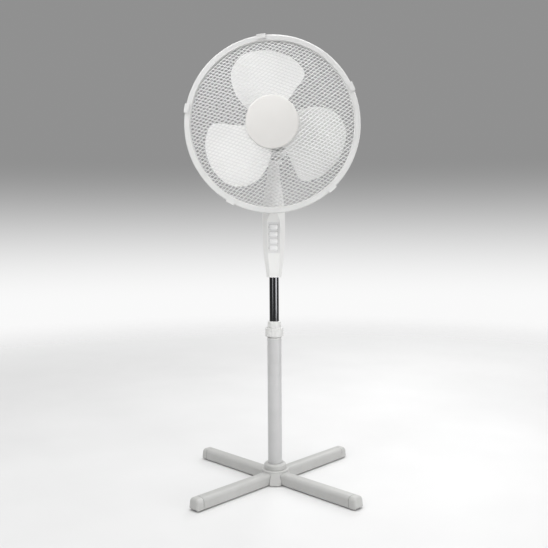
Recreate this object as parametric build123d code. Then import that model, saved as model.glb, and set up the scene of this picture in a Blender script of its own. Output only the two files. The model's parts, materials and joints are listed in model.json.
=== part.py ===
from build123d import *
import math
import os

# Pedestal fan, millimetres and degrees.
# Z is up, the head faces -Y, and the origin lies on the floor under the column.

# Clearances
FIXED_FIT = 0.05
RUNNING_FIT = 0.06
LOOSE_FIT = 0.3
THRUST_GAP = 0.3

# Cross base
LEG_REACH = 293.0
LEG_WIDTH = 34.0
LEG_HEIGHT = 29.5
LEG_WALL = 1.6
LEG_TOP_RADIUS = 10.0
LEG_BOTTOM_RADIUS = 2.5
LEG_START = 21.0
BASE_TURN = 1.4
CAP_LENGTH = 24.0
CAP_PLUG_DEPTH = 16.0
CAP_LEAN = 9.0
CAP_EDGE_RADIUS = 7.0
CAP_SEAM = 1.2
FOOT_HEIGHT = 2.5
FOOT_RADIUS = 9.0
FOOT_INSET = 17.0
HUB_RADIUS = 34.0
HUB_FLANGE = 6.0
HUB_FLANGE_RADIUS = 37.0
HUB_FLANGE_EDGE = 2.5
HUB_LEG_GAP = 1.0
PILLAR_WIDTH = 31.0
PILLAR_REACH = 48.0
PILLAR_FLARE = 9.0
SOCKET_HEIGHT = 10.0
SOCKET_WALL = 4.0
COLLAR_RADIUS = 30.0
COLLAR_ROOF = 5.0
COLLAR_TOP_EDGE = 5.5
COLLAR_FOOT_EDGE = 1.5
LEG_SCREW_RADIUS = 2.5
LEG_SCREW_HEAD_RADIUS = 4.5
LEG_SCREW_HEAD = 1.6
LEG_SCREW_AT = 29.0
BASE_BOLT_RADIUS = 5.0
BASE_BOLT_HEAD_RADIUS = 9.0
BASE_BOLT_HEAD = 6.0

# Telescopic column
OUTER_TUBE_RADIUS = 19.0
OUTER_TUBE_WALL = 1.2
OUTER_TUBE_LENGTH = 358.0
TUBE_END_PLATE = 8.0
INNER_TUBE_RADIUS = 12.5
INNER_TUBE_WALL = 1.2
INNER_TUBE_LENGTH = 438.0
EXPOSED_TUBE = 119.5
GUIDE_BUSH_LENGTH = 20.0
SLEEVE_SPIGOT = 60.0
SLEEVE_FLANGE = 3.0
SLEEVE_THREAD_RADIUS = 17.7
SLEEVE_UNDERCUT_RADIUS = 15.2
SLEEVE_NOSE = 18.0
SLEEVE_TIP_ROUNDING = 4.5
LOCK_NUT_RADIUS = 24.2
LOCK_NUT_HEIGHT = 24.0
LOCK_NUT_LIFT = 3.0
LOCK_NUT_FLUTES = 16
LOCK_NUT_FLUTE_RADIUS = 3.0
LOCK_NUT_FLUTE_DEPTH = 0.7
LOCK_NUT_ROUNDING = 3.0

# Control housing: half widths (X) and half depths (Y) at six heights
HOUSING_FOOT_WIDTH = 19.5
HOUSING_FOOT_DEPTH = 19.5
HOUSING_CALF_WIDTH = 25.0
HOUSING_CALF_DEPTH = 24.0
HOUSING_BELLY_WIDTH = 30.5
HOUSING_BELLY_DEPTH = 27.0
HOUSING_BROW_WIDTH = 30.3
HOUSING_BROW_DEPTH = 26.4
HOUSING_SHOULDER_WIDTH = 29.5
HOUSING_SHOULDER_DEPTH = 25.0
HOUSING_HEAD_WIDTH = 17.5
CHEEK_RADIUS = 15.0
HOUSING_CALF_RISE = 45.0
HOUSING_BELLY_RISE = 110.0
HOUSING_BROW_RISE = 150.0
HOUSING_SHOULDER_RISE = 176.0
HOUSING_HEAD_RISE = 260.5
HOUSING_WALL = 2.5
HOUSING_FLOOR = 4.0
HOUSING_ROOF_DROP = 24.0
HOUSING_STRIP_SHARE = 0.58
HOUSING_PEAK_SHARE = 0.3
HOUSING_SIDE_SHARE = 0.3
HOUSING_CORNER = 3.0
WEB_THICKNESS = 3.0
WEB_RISES = (34.0, 50.0)
SCREW_POST_RADIUS = 4.5
SCREW_RADIUS = 1.5
SCREW_HEAD_RADIUS = 3.0
SCREW_HEAD_HEIGHT = 2.4
SCREW_SEAT = 13.0
SCREW_GRIP = 22.0
SCREW_POSTS = ((-22.5, 106.0), (22.5, 106.0), (0.0, 214.0))

# Buttons and electrics
PANEL_WIDTH = 31.0
PANEL_HEIGHT = 82.0
PANEL_RISE = 106.0
PANEL_RECESS = 2.0
PANEL_LIP = 2.4
PANEL_LIP_THICKNESS = 1.5
FRAME_BACK_DROP = 8.5
BUTTON_WIDTH = 21.0
BUTTON_HEIGHT = 13.0
BUTTON_PITCH = 18.6
BUTTON_PROUD = 4.0
BUTTON_TRAVEL = 3.0
BUTTON_ROUNDING = 3.0
BUTTON_STEM = 5.0
BUTTON_STEM_LENGTH = 9.0
BUTTON_NAMES = ("button_high", "button_medium", "button_low", "button_off")
SWITCH_DEPTH = 20.0
SWITCH_POCKET = 6.5
SWITCH_STEM_ROOM = 1.0
CAPACITOR_WIDTH = 32.0
CAPACITOR_DEPTH = 18.0
CAPACITOR_HEIGHT = 34.0
CAPACITOR_RISE = 172.0
CAPACITOR_FRONT = -7.0
GLAND_RISE = 17.0
GLAND_RADIUS = 5.0
GLAND_BORE = 3.2
GLAND_FLANGE_RADIUS = 7.5
GLAND_FLANGE = 2.5
GLAND_SEAT = 24.0
GLAND_BOSS_RADIUS = 8.5

# Tilt joint and neck
TONGUE_WIDTH = 12.0
TONGUE_RADIUS = 13.6
TONGUE_DEPTH = 18.0
TILT_BOLT_RADIUS = 4.0
TILT_HEAD_RADIUS = 7.0
TILT_HEAD_HEIGHT = 4.5
NECK_HEIGHT = 49.0
NECK_BASE_WIDTH = 36.0
NECK_BASE_DEPTH = 24.0
NECK_TOP_WIDTH = 24.0
NECK_TOP_DEPTH = 27.0
NECK_CORNER = 5.0
NECK_GAP = 0.5
POST_RADIUS = 6.0
POST_ENGAGED = 32.0
POST_GROOVE = 7.0
POST_GROOVE_DEPTH = 1.2
POST_GROOVE_RISE = 4.0
POST_HEAD_RADIUS = 7.5
POST_HEAD = 3.0
BUSH_RADIUS = 8.0
BUSH_FLANGE = 1.5
BUSH_FLANGE_RADIUS = 10.0
NECK_SCREW_RADIUS = 2.5
NECK_SCREW_HEAD_RADIUS = 4.5
NECK_SCREW_HEAD = 2.5

# Oscillating linkage, seen from above in the neck and head frames
CRANK_AXIS_Y = 32.0
CRANK_THROW = 12.9
CRANK_ANGLE = 23.7
CRANK_DISC = 4.0
CRANK_PIN_RADIUS = 2.5
CRANK_SHAFT_RADIUS = 4.0
NECK_ARM = 20.0
NECK_ARM_ANGLE = 30.0
NECK_ARM_HEIGHT = 7.0
NECK_ARM_WIDTH = 12.0
LINK_LENGTH = 28.0
LINK_ANGLE = 104.3
LINK_THICKNESS = 3.0
LINK_WIDTH = 8.0
LINK_LIFT = 0.6
LINK_PIN_RADIUS = 2.5
LINK_PIN_HEAD_RADIUS = 4.5
LINK_PIN_HEAD = 2.5
LINK_EYE_ROOM = 1.9
LINK_EYE_WALL = 2.5

# Motor and gearbox along Y
AXIS_RISE = 75.0
PLATE_Y = -80.0
PLATE_THICKNESS = 1.5
FRAME_RADIUS = 48.0
FRAME_WALL = 4.0
FRAME_SPLIT_Y = -44.0
FRAME_BACK_Y = -11.0
FRONT_BOSS_RADIUS = 17.0
FRONT_BOSS_LENGTH = 17.5
REAR_BOSS_RADIUS = 15.0
REAR_BOSS_LENGTH = 7.0
BEARING_RADIUS = 11.0
BEARING_WIDTH = 7.0
SHAFT_RADIUS = 4.0
SHAFT_HOLE_RADIUS = 5.0
SHAFT_TAIL_Y = 34.0
STATOR_RADIUS = 42.0
STATOR_STACK = 30.0
STATOR_SLOTS = 12
STATOR_SLOT_RADIUS = 3.0
STATOR_SLOT_AT = 29.5
AIR_GAP = 0.4
ROTOR_RADIUS = 24.0
WINDING_INNER = 27.0
WINDING_OUTER = 40.0
WINDING_LENGTH = 9.0
WORM_RADIUS = 5.0
WORM_LENGTH = 22.0
WHEEL_RADIUS = 11.7
WHEEL_THICKNESS = 8.0
WHEEL_TEETH = 20
PINION_RADIUS = 5.4
PINION_TEETH = 10
CRANK_GEAR_RADIUS = 15.0
CRANK_GEAR_TEETH = 28
GEAR_THICKNESS = 6.0
GEAR_TOOTH_DEPTH = 1.4
GEAR_RISE = 9.0
SPINDLE_RADIUS = 3.0
SPINDLE_COLLAR_RADIUS = 6.0
SPINDLE_COLLAR = 3.0
KNOB_TRAVEL = 6.0
KNOB_RADIUS = 9.0
KNOB_HEIGHT = 20.0
KNOB_GRIP = 12.0
KNOB_ROUNDING = 2.0
KNOB_FLUTES = 12
KNOB_FLUTE_RADIUS = 1.6
CASE_WALL = 3.0
CASE_ROOF_RISE = 20.0
CASE_STEP_DROP = 26.0
CASE_SIDE_ROOM = 2.0
LID_THICKNESS = 3.0
LID_BOSS_RADIUS = 5.0
LID_BOSS_RISES = (12.0, -28.0)
COVER_RADIUS = 60.0
COVER_WALL = 2.5
COVER_FRONT_Y = -70.0
COVER_DOME = 30.0
COVER_DOME_FLAT = 38.0
CHIN_HALF_WIDTH = 34.0
CHIN_FRONT_Y = -16.0
CHIN_CORNER = 10.0
CHIN_HANG = 1.0
CHIN_TUCK = 1.0
VENT_COUNT = 16
VENT_WIDTH = 3.0
VENT_INNER = 20.0
VENT_OUTER = 34.0
COVER_SCREW_RADIUS = 1.8
COVER_SCREW_HEAD_RADIUS = 3.5
COVER_SCREW_HEAD = 2.5

# Guards
RIM_RADIUS = 209.5
RIM_WIRE = 6.0
RIM_SPACING = 7.0
FRONT_DEPTH = 62.0
REAR_DEPTH = 68.0
PLATE_RADIUS = 56.0
PLATE_LAP = 4.0
MESH_PITCH = 22.0
STRAND_WIDTH = 2.4
STRAND_THICKNESS = 1.8
STRAND_ANGLES = (36.0, -24.0)
BAND_GAP = 0.5
BAND_WALL = 2.0
BAND_WIDTH = 24.0
BAND_LIP = 13.0
BAND_EDGE = 3.0
CLIP_COUNT = 5
CLIP_START = 25.0
CLIP_WIDTH = 22.0
CLIP_WALL = 2.5
CLIP_REACH = 9.0
BADGE_RADIUS = 63.0
BADGE_THICKNESS = 5.0
BADGE_EDGE = 2.0
GUARD_NUT_RADIUS = 34.0
GUARD_NUT_HEIGHT = 9.0
GUARD_NUT_GRIPS = 12
GUARD_NUT_GRIP_RADIUS = 4.0

# Blade, its outline drawn for the upper lobe as X and height above the shaft
BLADE_COUNT = 3
BLADE_THICKNESS = 2.4
BLADE_PITCH = 13.0
BLADE_CAMBER_RADIUS = 420.0
BLADE_FORWARD = -1.5
BLADE_SET_BACK = 11.0
BLADE_OUTLINE = ((-30, 20), (-60, 38), (-87, 70), (-99, 110), (-90, 144), (-62, 171), (-10, 182),
                 (40, 170), (72, 144), (79, 122), (58, 90), (38, 62), (26, 24))
BLADE_HUB_RADIUS = 40.0
BLADE_HUB_DEPTH = 34.0
BLADE_HUB_WALL = 3.0
BLADE_BOSS_RADIUS = 11.0
BLADE_NUT_RADIUS = 20.0
BLADE_NUT_HEIGHT = 16.0
BLADE_NUT_EDGE = 5.0
BLADE_NUT_GRIP = 10.0
DRIVE_PIN_RADIUS = 2.0
DRIVE_PIN_LENGTH = 20.0

# Heights worked out from the sizes above
LEG_BOTTOM = FOOT_HEIGHT
LEG_TOP = LEG_BOTTOM + LEG_HEIGHT
FLANGE_TOP = LEG_TOP + HUB_FLANGE
TUBE_SEAT = FLANGE_TOP - 2 * FIXED_FIT
SOCKET_TOP = FLANGE_TOP + SOCKET_HEIGHT
OUTER_TUBE_TOP = TUBE_SEAT + OUTER_TUBE_LENGTH
OUTER_TUBE_BORE = OUTER_TUBE_RADIUS - OUTER_TUBE_WALL
LOCK_NUT_BOTTOM = OUTER_TUBE_TOP + SLEEVE_FLANGE + LOCK_NUT_LIFT
LOCK_NUT_TOP = LOCK_NUT_BOTTOM + LOCK_NUT_HEIGHT
SLEEVE_TOP = LOCK_NUT_TOP + SLEEVE_NOSE
HOUSING_BOTTOM = SLEEVE_TOP + EXPOSED_TUBE
INNER_TUBE_TOP = HOUSING_BOTTOM + WEB_RISES[-1] + WEB_THICKNESS
INNER_TUBE_BOTTOM = INNER_TUBE_TOP - INNER_TUBE_LENGTH
TILT_Z = HOUSING_BOTTOM + HOUSING_HEAD_RISE
NECK_TOP = TILT_Z + NECK_HEIGHT
AXIS_Z = NECK_TOP + AXIS_RISE
PANEL_Z = HOUSING_BOTTOM + PANEL_RISE
PANEL_FRONT = PANEL_RECESS - HOUSING_BELLY_DEPTH
FRAME_BACK = FRAME_BACK_DROP - HOUSING_BELLY_DEPTH
PANEL_BACK = FRAME_BACK + PANEL_LIP_THICKNESS
SLOT_HALF_WIDTH = TONGUE_WIDTH / 2 + LOOSE_FIT
SLOT_RADIUS = TONGUE_RADIUS + LOOSE_FIT
BOLT_SEAT = HOUSING_HEAD_WIDTH - TILT_HEAD_HEIGHT - LOOSE_FIT

# Heights of the linkage and gearbox
LINK_BOTTOM = NECK_TOP + LINK_LIFT
LINK_TOP = LINK_BOTTOM + LINK_THICKNESS
LINK_PIN_TOP = LINK_TOP + LINK_LIFT + LINK_PIN_HEAD
CRANK_DISC_BOTTOM = LINK_PIN_TOP + LOOSE_FIT + LINK_LIFT
CRANK_DISC_TOP = CRANK_DISC_BOTTOM + CRANK_DISC
CASE_BOTTOM = CRANK_DISC_TOP + LOOSE_FIT + LINK_LIFT
CASE_FLOOR = CASE_BOTTOM + CASE_WALL
BOSS_BOTTOM = NECK_TOP + BUSH_FLANGE + THRUST_GAP
POST_BOTTOM = NECK_TOP - POST_ENGAGED
GEAR_BOTTOM = CASE_FLOOR + GEAR_RISE
CASE_ROOF = AXIS_Z + CASE_ROOF_RISE
SPINDLE_X = WORM_RADIUS + LOOSE_FIT + WHEEL_RADIUS
GEAR_SPACING = PINION_RADIUS + LOOSE_FIT + CRANK_GEAR_RADIUS
SPINDLE_Y = CRANK_AXIS_Y - math.sqrt(GEAR_SPACING**2 - SPINDLE_X**2)
CASE_REAR_Y = CRANK_AXIS_Y + CRANK_GEAR_RADIUS + CASE_SIDE_ROOM
LID_BACK_Y = CASE_REAR_Y + LID_THICKNESS
COVER_BACK_Y = LID_BACK_Y + COVER_WALL + LID_THICKNESS
COVER_TOP_AT_KNOB = AXIS_Z + math.sqrt(COVER_RADIUS**2 - (SPINDLE_X - KNOB_RADIUS) ** 2)
KNOB_BOTTOM = COVER_TOP_AT_KNOB + KNOB_TRAVEL + LOOSE_FIT
WHEEL_TOP = AXIS_Z + WHEEL_THICKNESS / 2
COLLAR_BOTTOM = WHEEL_TOP + KNOB_TRAVEL + LOOSE_FIT

# Places along Y of the guards and blade
FRAME_FRONT_Y = PLATE_Y + PLATE_THICKNESS
REAR_RIM_Y = PLATE_Y - REAR_DEPTH
FRONT_RIM_Y = REAR_RIM_Y - RIM_SPACING
RIM_Y = (REAR_RIM_Y + FRONT_RIM_Y) / 2
MESH_RADIUS = RIM_RADIUS - RIM_WIRE / 2
BAND_BORE = RIM_RADIUS + RIM_WIRE / 2 + BAND_GAP
BAND_RADIUS = BAND_BORE + BAND_WALL
BLADE_Y = RIM_Y - BLADE_FORWARD
BLADE_FRONT_Y = BLADE_Y - BLADE_HUB_DEPTH / 2
BLADE_BACK_Y = BLADE_Y + BLADE_HUB_DEPTH / 2
SHAFT_NOSE_Y = BLADE_FRONT_Y - BLADE_NUT_GRIP
FAR = 2000.0


def cylinder_z(radius, z0, z1, x=0.0, y=0.0):
    """Upright cylinder between two heights."""
    solid = Cylinder(radius, z1 - z0, align=(Align.CENTER, Align.CENTER, Align.MIN))
    return Pos(x, y, z0) * solid


def tube_z(outer, inner, z0, z1, x=0.0, y=0.0):
    """Upright tube between two heights."""
    return cylinder_z(outer, z0, z1, x, y) - cylinder_z(inner, z0, z1, x, y)


def cylinder_y(radius, y0, y1, x=0.0, z=AXIS_Z):
    """Cylinder along Y, on the motor axis unless placed elsewhere."""
    solid = Cylinder(radius, y1 - y0, align=(Align.CENTER, Align.CENTER, Align.MIN))
    return Pos(x, y0, z) * Rot(-90, 0, 0) * solid


def tube_y(outer, inner, y0, y1, x=0.0, z=AXIS_Z):
    """Tube along Y."""
    return cylinder_y(outer, y0, y1, x, z) - cylinder_y(inner, y0, y1, x, z)


def cylinder_x(radius, x0, x1, y=0.0, z=TILT_Z):
    """Cylinder along X, on the tilt axis unless placed elsewhere."""
    solid = Cylinder(radius, x1 - x0, align=(Align.CENTER, Align.CENTER, Align.MIN))
    return Pos(x0, y, z) * Rot(0, 90, 0) * solid


def block(x0, x1, y0, y1, z0, z1):
    """Box between two corners."""
    solid = Box(x1 - x0, y1 - y0, z1 - z0, align=(Align.MIN, Align.MIN, Align.MIN))
    return Pos(x0, y0, z0) * solid


def hexagon_x(radius, x0, x1):
    """Hexagonal prism along X on the tilt axis."""
    prism = extrude(RegularPolygon(radius, 6), x1 - x0)
    return Pos(x0, 0, TILT_Z) * Rot(0, 90, 0) * prism


def round_places(count, radius, start=0.0):
    """Points evenly spaced round a circle."""
    places = []
    for index in range(count):
        angle = math.radians(start + 360 * index / count)
        places.append((radius * math.cos(angle), radius * math.sin(angle)))
    return places


def gear(radius, teeth, tooth_depth, z0, z1, x, y):
    """Spur gear with straight-sided teeth inside its tip circle."""
    corners = []
    step = 2 * math.pi / teeth
    for tooth in range(teeth):
        for share, corner_radius in ((0.0, radius - tooth_depth), (0.25, radius - tooth_depth),
                                     (0.45, radius), (0.8, radius)):
            angle = (tooth + share) * step
            corners.append((corner_radius * math.cos(angle), corner_radius * math.sin(angle)))
    face = make_face(Polyline(*corners, close=True))
    return Pos(x, y, z0) * extrude(face, z1 - z0)


# Base pieces

def leg_angles():
    """Names of the four legs with their directions."""
    return {
        "front_left": 225 + BASE_TURN,
        "front_right": 315 + BASE_TURN,
        "rear_right": 45 + BASE_TURN,
        "rear_left": 135 + BASE_TURN,
    }


def leg_face(inset):
    """Section of a leg in its own YZ plane: a box with a rounded top."""
    half = LEG_WIDTH / 2 - inset
    face = Plane.YZ * Pos(0, (LEG_BOTTOM + LEG_TOP) / 2) * Rectangle(2 * half, LEG_HEIGHT - 2 * inset)
    middle = (LEG_BOTTOM + LEG_TOP) / 2
    upper = [corner for corner in face.vertices() if corner.Z > middle]
    face = fillet(upper, LEG_TOP_RADIUS - inset).face()
    lower = [corner for corner in face.vertices() if corner.Z < LEG_BOTTOM + inset + FIXED_FIT]
    return fillet(lower, max(LEG_BOTTOM_RADIUS - inset, FIXED_FIT)).face()


def leg_prism(inset, start, end):
    """Solid bar of the leg section along +X."""
    return Pos(start, 0, 0) * extrude(leg_face(inset), end - start, dir=(1, 0, 0))


def leg():
    """One hollow leg along +X."""
    end = LEG_REACH - CAP_LENGTH
    body = leg_prism(0, LEG_START, end) - leg_prism(LEG_WALL, LEG_START, end)
    return body - cylinder_z(LEG_SCREW_RADIUS + FIXED_FIT, 0, LEG_TOP + 1, LEG_SCREW_AT)


def leg_end_cap():
    """Moulded cap with a leaning, rounded end, a shadow gap at the leg and a plug inside it."""
    seat = LEG_REACH - CAP_LENGTH
    rim = seat + CAP_SEAM
    beyond = Pos(LEG_REACH, 0, LEG_BOTTOM) * Rot(0, -CAP_LEAN, 0) * block(0, FAR, -FAR, FAR, -FAR, FAR)
    cover = leg_prism(0, rim, LEG_REACH) - beyond
    end_edges = cover.faces().sort_by(Axis.X)[-1].edges()
    cover = fillet(end_edges, CAP_EDGE_RADIUS)
    plug = leg_prism(LEG_WALL + FIXED_FIT, seat - CAP_PLUG_DEPTH, rim)
    return cover + plug


def foot_pad():
    """Rubber pad under a leg."""
    return cylinder_z(FOOT_RADIUS, 0, FOOT_HEIGHT, LEG_REACH - FOOT_INSET)


def leg_screw():
    """Screw through a leg into the hub flange, head under the leg."""
    head = cylinder_z(LEG_SCREW_HEAD_RADIUS, LEG_BOTTOM - LEG_SCREW_HEAD, LEG_BOTTOM, LEG_SCREW_AT)
    return head + cylinder_z(LEG_SCREW_RADIUS, LEG_BOTTOM, LEG_TOP + HUB_FLANGE / 2, LEG_SCREW_AT)


def all_round(solid):
    """Copies of a piece made along +X, one for each leg."""
    return Compound(children=[Rot(0, 0, angle) * solid for angle in leg_angles().values()])


def hub_pillar():
    """Leaning pillar along +X between two legs, flared where it meets the flange."""
    skirt = Cone(PILLAR_REACH, HUB_FLANGE_RADIUS, LEG_HEIGHT, align=(Align.CENTER, Align.CENTER, Align.MIN))
    half = PILLAR_WIDTH / 2
    wide = half + PILLAR_FLARE
    root = LEG_TOP - PILLAR_FLARE
    bar = block(0, PILLAR_REACH, -wide, wide, LEG_BOTTOM, LEG_TOP) - [
        block(0, PILLAR_REACH, half, wide, LEG_BOTTOM, root),
        block(0, PILLAR_REACH, -wide, -half, LEG_BOTTOM, root),
        cylinder_x(PILLAR_FLARE, 0, PILLAR_REACH, wide, root),
        cylinder_x(PILLAR_FLARE, 0, PILLAR_REACH, -wide, root),
    ]
    return bar & (Pos(0, 0, LEG_BOTTOM) * skirt)


def leg_slot():
    """Room for a leg along +X in the hub: flat on its top, clear of its sides and shoulders."""
    half = LEG_WIDTH / 2 + HUB_LEG_GAP
    room = block(LEG_START - FIXED_FIT, PILLAR_REACH + HUB_LEG_GAP, -half, half,
                 LEG_BOTTOM - HUB_LEG_GAP, LEG_TOP)
    shoulders = room.edges().filter_by(Axis.X).sort_by(Axis.Z)[-2:]
    return fillet(shoulders, LEG_TOP_RADIUS - HUB_LEG_GAP)


def base_hub():
    """Hub with four leg slots between pillars, a flange above them and a socket for the column."""
    body = cylinder_z(HUB_RADIUS, LEG_BOTTOM, LEG_TOP)
    pillar = hub_pillar()
    slot = leg_slot()
    corner = 180 / len(leg_angles())
    for angle in leg_angles().values():
        body += Rot(0, 0, angle + corner) * pillar
    for angle in leg_angles().values():
        body -= Rot(0, 0, angle) * slot
    flange = cylinder_z(HUB_FLANGE_RADIUS, LEG_TOP, FLANGE_TOP)
    body += fillet(flange.faces().sort_by(Axis.Z)[-1].edges(), HUB_FLANGE_EDGE)
    body += cylinder_z(OUTER_TUBE_RADIUS + SOCKET_WALL, FLANGE_TOP, SOCKET_TOP)
    body -= cylinder_z(OUTER_TUBE_RADIUS + FIXED_FIT, TUBE_SEAT, SOCKET_TOP)
    body -= cylinder_z(BASE_BOLT_RADIUS + FIXED_FIT, 0, TUBE_SEAT)
    body -= cylinder_z(BASE_BOLT_HEAD_RADIUS + LOOSE_FIT, 0, LEG_BOTTOM + BASE_BOLT_HEAD)
    for angle in leg_angles().values():
        hole = cylinder_z(LEG_SCREW_RADIUS + FIXED_FIT, LEG_TOP, LEG_TOP + HUB_FLANGE / 2, LEG_SCREW_AT)
        body -= Rot(0, 0, angle) * hole
    return body


def base_bolt():
    """Bolt that draws the column down into the hub."""
    seat = LEG_BOTTOM + BASE_BOLT_HEAD
    head = Pos(0, 0, LEG_BOTTOM) * extrude(RegularPolygon(BASE_BOLT_HEAD_RADIUS, 6), BASE_BOLT_HEAD)
    return head + cylinder_z(BASE_BOLT_RADIUS, seat, TUBE_SEAT + TUBE_END_PLATE)


def base_collar():
    """Moulded ring that hides the socket, rounded at its top."""
    bore = OUTER_TUBE_RADIUS + SOCKET_WALL + FIXED_FIT
    neck_bore = OUTER_TUBE_RADIUS + LOOSE_FIT
    inner_top = SOCKET_TOP + FIXED_FIT
    body = cylinder_z(COLLAR_RADIUS, FLANGE_TOP, inner_top + COLLAR_ROOF)
    body = fillet(body.faces().sort_by(Axis.Z)[-1].edges(), COLLAR_TOP_EDGE)
    body = fillet(body.faces().sort_by(Axis.Z)[0].edges(), COLLAR_FOOT_EDGE)
    return body - cylinder_z(bore, FLANGE_TOP, inner_top) - cylinder_z(neck_bore, FLANGE_TOP, FAR)


# Column pieces

def outer_tube():
    """Lower tube with a tapped plate closing its foot."""
    tube = tube_z(OUTER_TUBE_RADIUS, OUTER_TUBE_BORE, TUBE_SEAT, OUTER_TUBE_TOP)
    plate = cylinder_z(OUTER_TUBE_RADIUS, TUBE_SEAT, TUBE_SEAT + TUBE_END_PLATE)
    bolt_hole = cylinder_z(BASE_BOLT_RADIUS + FIXED_FIT, TUBE_SEAT, TUBE_SEAT + TUBE_END_PLATE)
    return tube + plate - bolt_hole


def height_sleeve():
    """Slit sleeve: spigot in the outer tube, flange, undercut, thread and rounded nose."""
    spigot = OUTER_TUBE_BORE - FIXED_FIT
    bore = INNER_TUBE_RADIUS + RUNNING_FIT
    flange_top = OUTER_TUBE_TOP + SLEEVE_FLANGE
    body = cylinder_z(SLEEVE_THREAD_RADIUS, LOCK_NUT_BOTTOM, SLEEVE_TOP)
    body = fillet(body.faces().sort_by(Axis.Z)[-1].edges(), SLEEVE_TIP_ROUNDING)
    body += cylinder_z(SLEEVE_UNDERCUT_RADIUS, flange_top, LOCK_NUT_BOTTOM)
    body += cylinder_z(OUTER_TUBE_RADIUS, OUTER_TUBE_TOP, flange_top)
    body += cylinder_z(spigot, OUTER_TUBE_TOP - SLEEVE_SPIGOT, OUTER_TUBE_TOP)
    return body - cylinder_z(bore, 0, FAR)


def lock_nut():
    """Ring nut with shallow finger flutes."""
    body = cylinder_z(LOCK_NUT_RADIUS, LOCK_NUT_BOTTOM, LOCK_NUT_TOP)
    ends = body.faces().sort_by(Axis.Z)[0].edges() + body.faces().sort_by(Axis.Z)[-1].edges()
    body = fillet(ends, LOCK_NUT_ROUNDING)
    flute_at = LOCK_NUT_RADIUS + LOCK_NUT_FLUTE_RADIUS - LOCK_NUT_FLUTE_DEPTH
    cuts = [cylinder_z(SLEEVE_THREAD_RADIUS + LOOSE_FIT, LOCK_NUT_BOTTOM, LOCK_NUT_TOP)]
    for x, y in round_places(LOCK_NUT_FLUTES, flute_at):
        cuts.append(cylinder_z(LOCK_NUT_FLUTE_RADIUS, LOCK_NUT_BOTTOM, LOCK_NUT_TOP, x, y))
    return body - cuts


def inner_tube():
    """Sliding tube, from inside the outer tube up into the housing."""
    bore = INNER_TUBE_RADIUS - INNER_TUBE_WALL
    return tube_z(INNER_TUBE_RADIUS, bore, INNER_TUBE_BOTTOM, INNER_TUBE_TOP)


def guide_bush():
    """Ring on the foot of the inner tube that runs in the outer tube."""
    bush = cylinder_z(OUTER_TUBE_BORE - RUNNING_FIT, INNER_TUBE_BOTTOM, INNER_TUBE_BOTTOM + GUIDE_BUSH_LENGTH)
    return bush - cylinder_z(INNER_TUBE_RADIUS + FIXED_FIT, 0, FAR)


# Control housing

def housing_section(rise, half_width, half_depth, strip_share, inset):
    """Eight-sided section with rounded corners at one height."""
    width = half_width - inset
    depth = half_depth - inset
    strip = width * strip_share
    side = depth * HOUSING_SIDE_SHARE
    corners = ((-strip, -depth), (strip, -depth), (width, -side), (width, side),
               (strip, depth), (-strip, depth), (-width, side), (-width, -side))
    face = make_face(Polyline(*corners, close=True))
    face = fillet(face.vertices(), HOUSING_CORNER)
    return Pos(0, 0, HOUSING_BOTTOM + rise) * face


def housing_form(inset):
    """Outer or inner form of the housing: a tapered body, and shoulders whose front strip has a peak."""
    brow = (HOUSING_BROW_RISE, HOUSING_BROW_WIDTH, HOUSING_BROW_DEPTH, HOUSING_STRIP_SHARE)
    body = (
        (0.0, HOUSING_FOOT_WIDTH, HOUSING_FOOT_DEPTH, HOUSING_STRIP_SHARE),
        (HOUSING_CALF_RISE, HOUSING_CALF_WIDTH, HOUSING_CALF_DEPTH, HOUSING_STRIP_SHARE),
        (HOUSING_BELLY_RISE, HOUSING_BELLY_WIDTH, HOUSING_BELLY_DEPTH, HOUSING_STRIP_SHARE),
        brow,
    )
    shoulders = (
        brow,
        (HOUSING_SHOULDER_RISE, HOUSING_SHOULDER_WIDTH, HOUSING_SHOULDER_DEPTH, HOUSING_PEAK_SHARE),
        (HOUSING_HEAD_RISE, HOUSING_HEAD_WIDTH, CHEEK_RADIUS, HOUSING_STRIP_SHARE),
    )
    lower = loft([housing_section(*section, inset) for section in body])
    return lower + loft([housing_section(*section, inset) for section in shoulders])


def housing_cavity():
    """Hollow of the housing, with its webs, panel frame, screw posts and rib left standing."""
    floor = HOUSING_BOTTOM + HOUSING_FLOOR
    roof = TILT_Z - HOUSING_ROOF_DROP
    frame_half = PANEL_WIDTH / 2 + PANEL_LIP
    frame_tall = PANEL_HEIGHT / 2 + PANEL_LIP
    rib_half = CAPACITOR_WIDTH / 4
    rib_low = HOUSING_BOTTOM + CAPACITOR_RISE + WEB_THICKNESS
    rib_high = rib_low + CAPACITOR_HEIGHT - 2 * WEB_THICKNESS
    kept = [
        block(-frame_half, frame_half, -FAR, FRAME_BACK, PANEL_Z - frame_tall, PANEL_Z + frame_tall),
        block(-rib_half, rib_half, CAPACITOR_FRONT + CAPACITOR_DEPTH, FAR, rib_low, rib_high),
    ]
    for rise in WEB_RISES:
        web = HOUSING_BOTTOM + rise
        kept.append(block(-FAR, FAR, -FAR, FAR, web, web + WEB_THICKNESS))
    for x, rise in SCREW_POSTS:
        kept.append(cylinder_y(SCREW_POST_RADIUS, -FAR, FAR, x, HOUSING_BOTTOM + rise))
    return (housing_form(HOUSING_WALL) & block(-FAR, FAR, -FAR, FAR, floor, roof)) - kept


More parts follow.
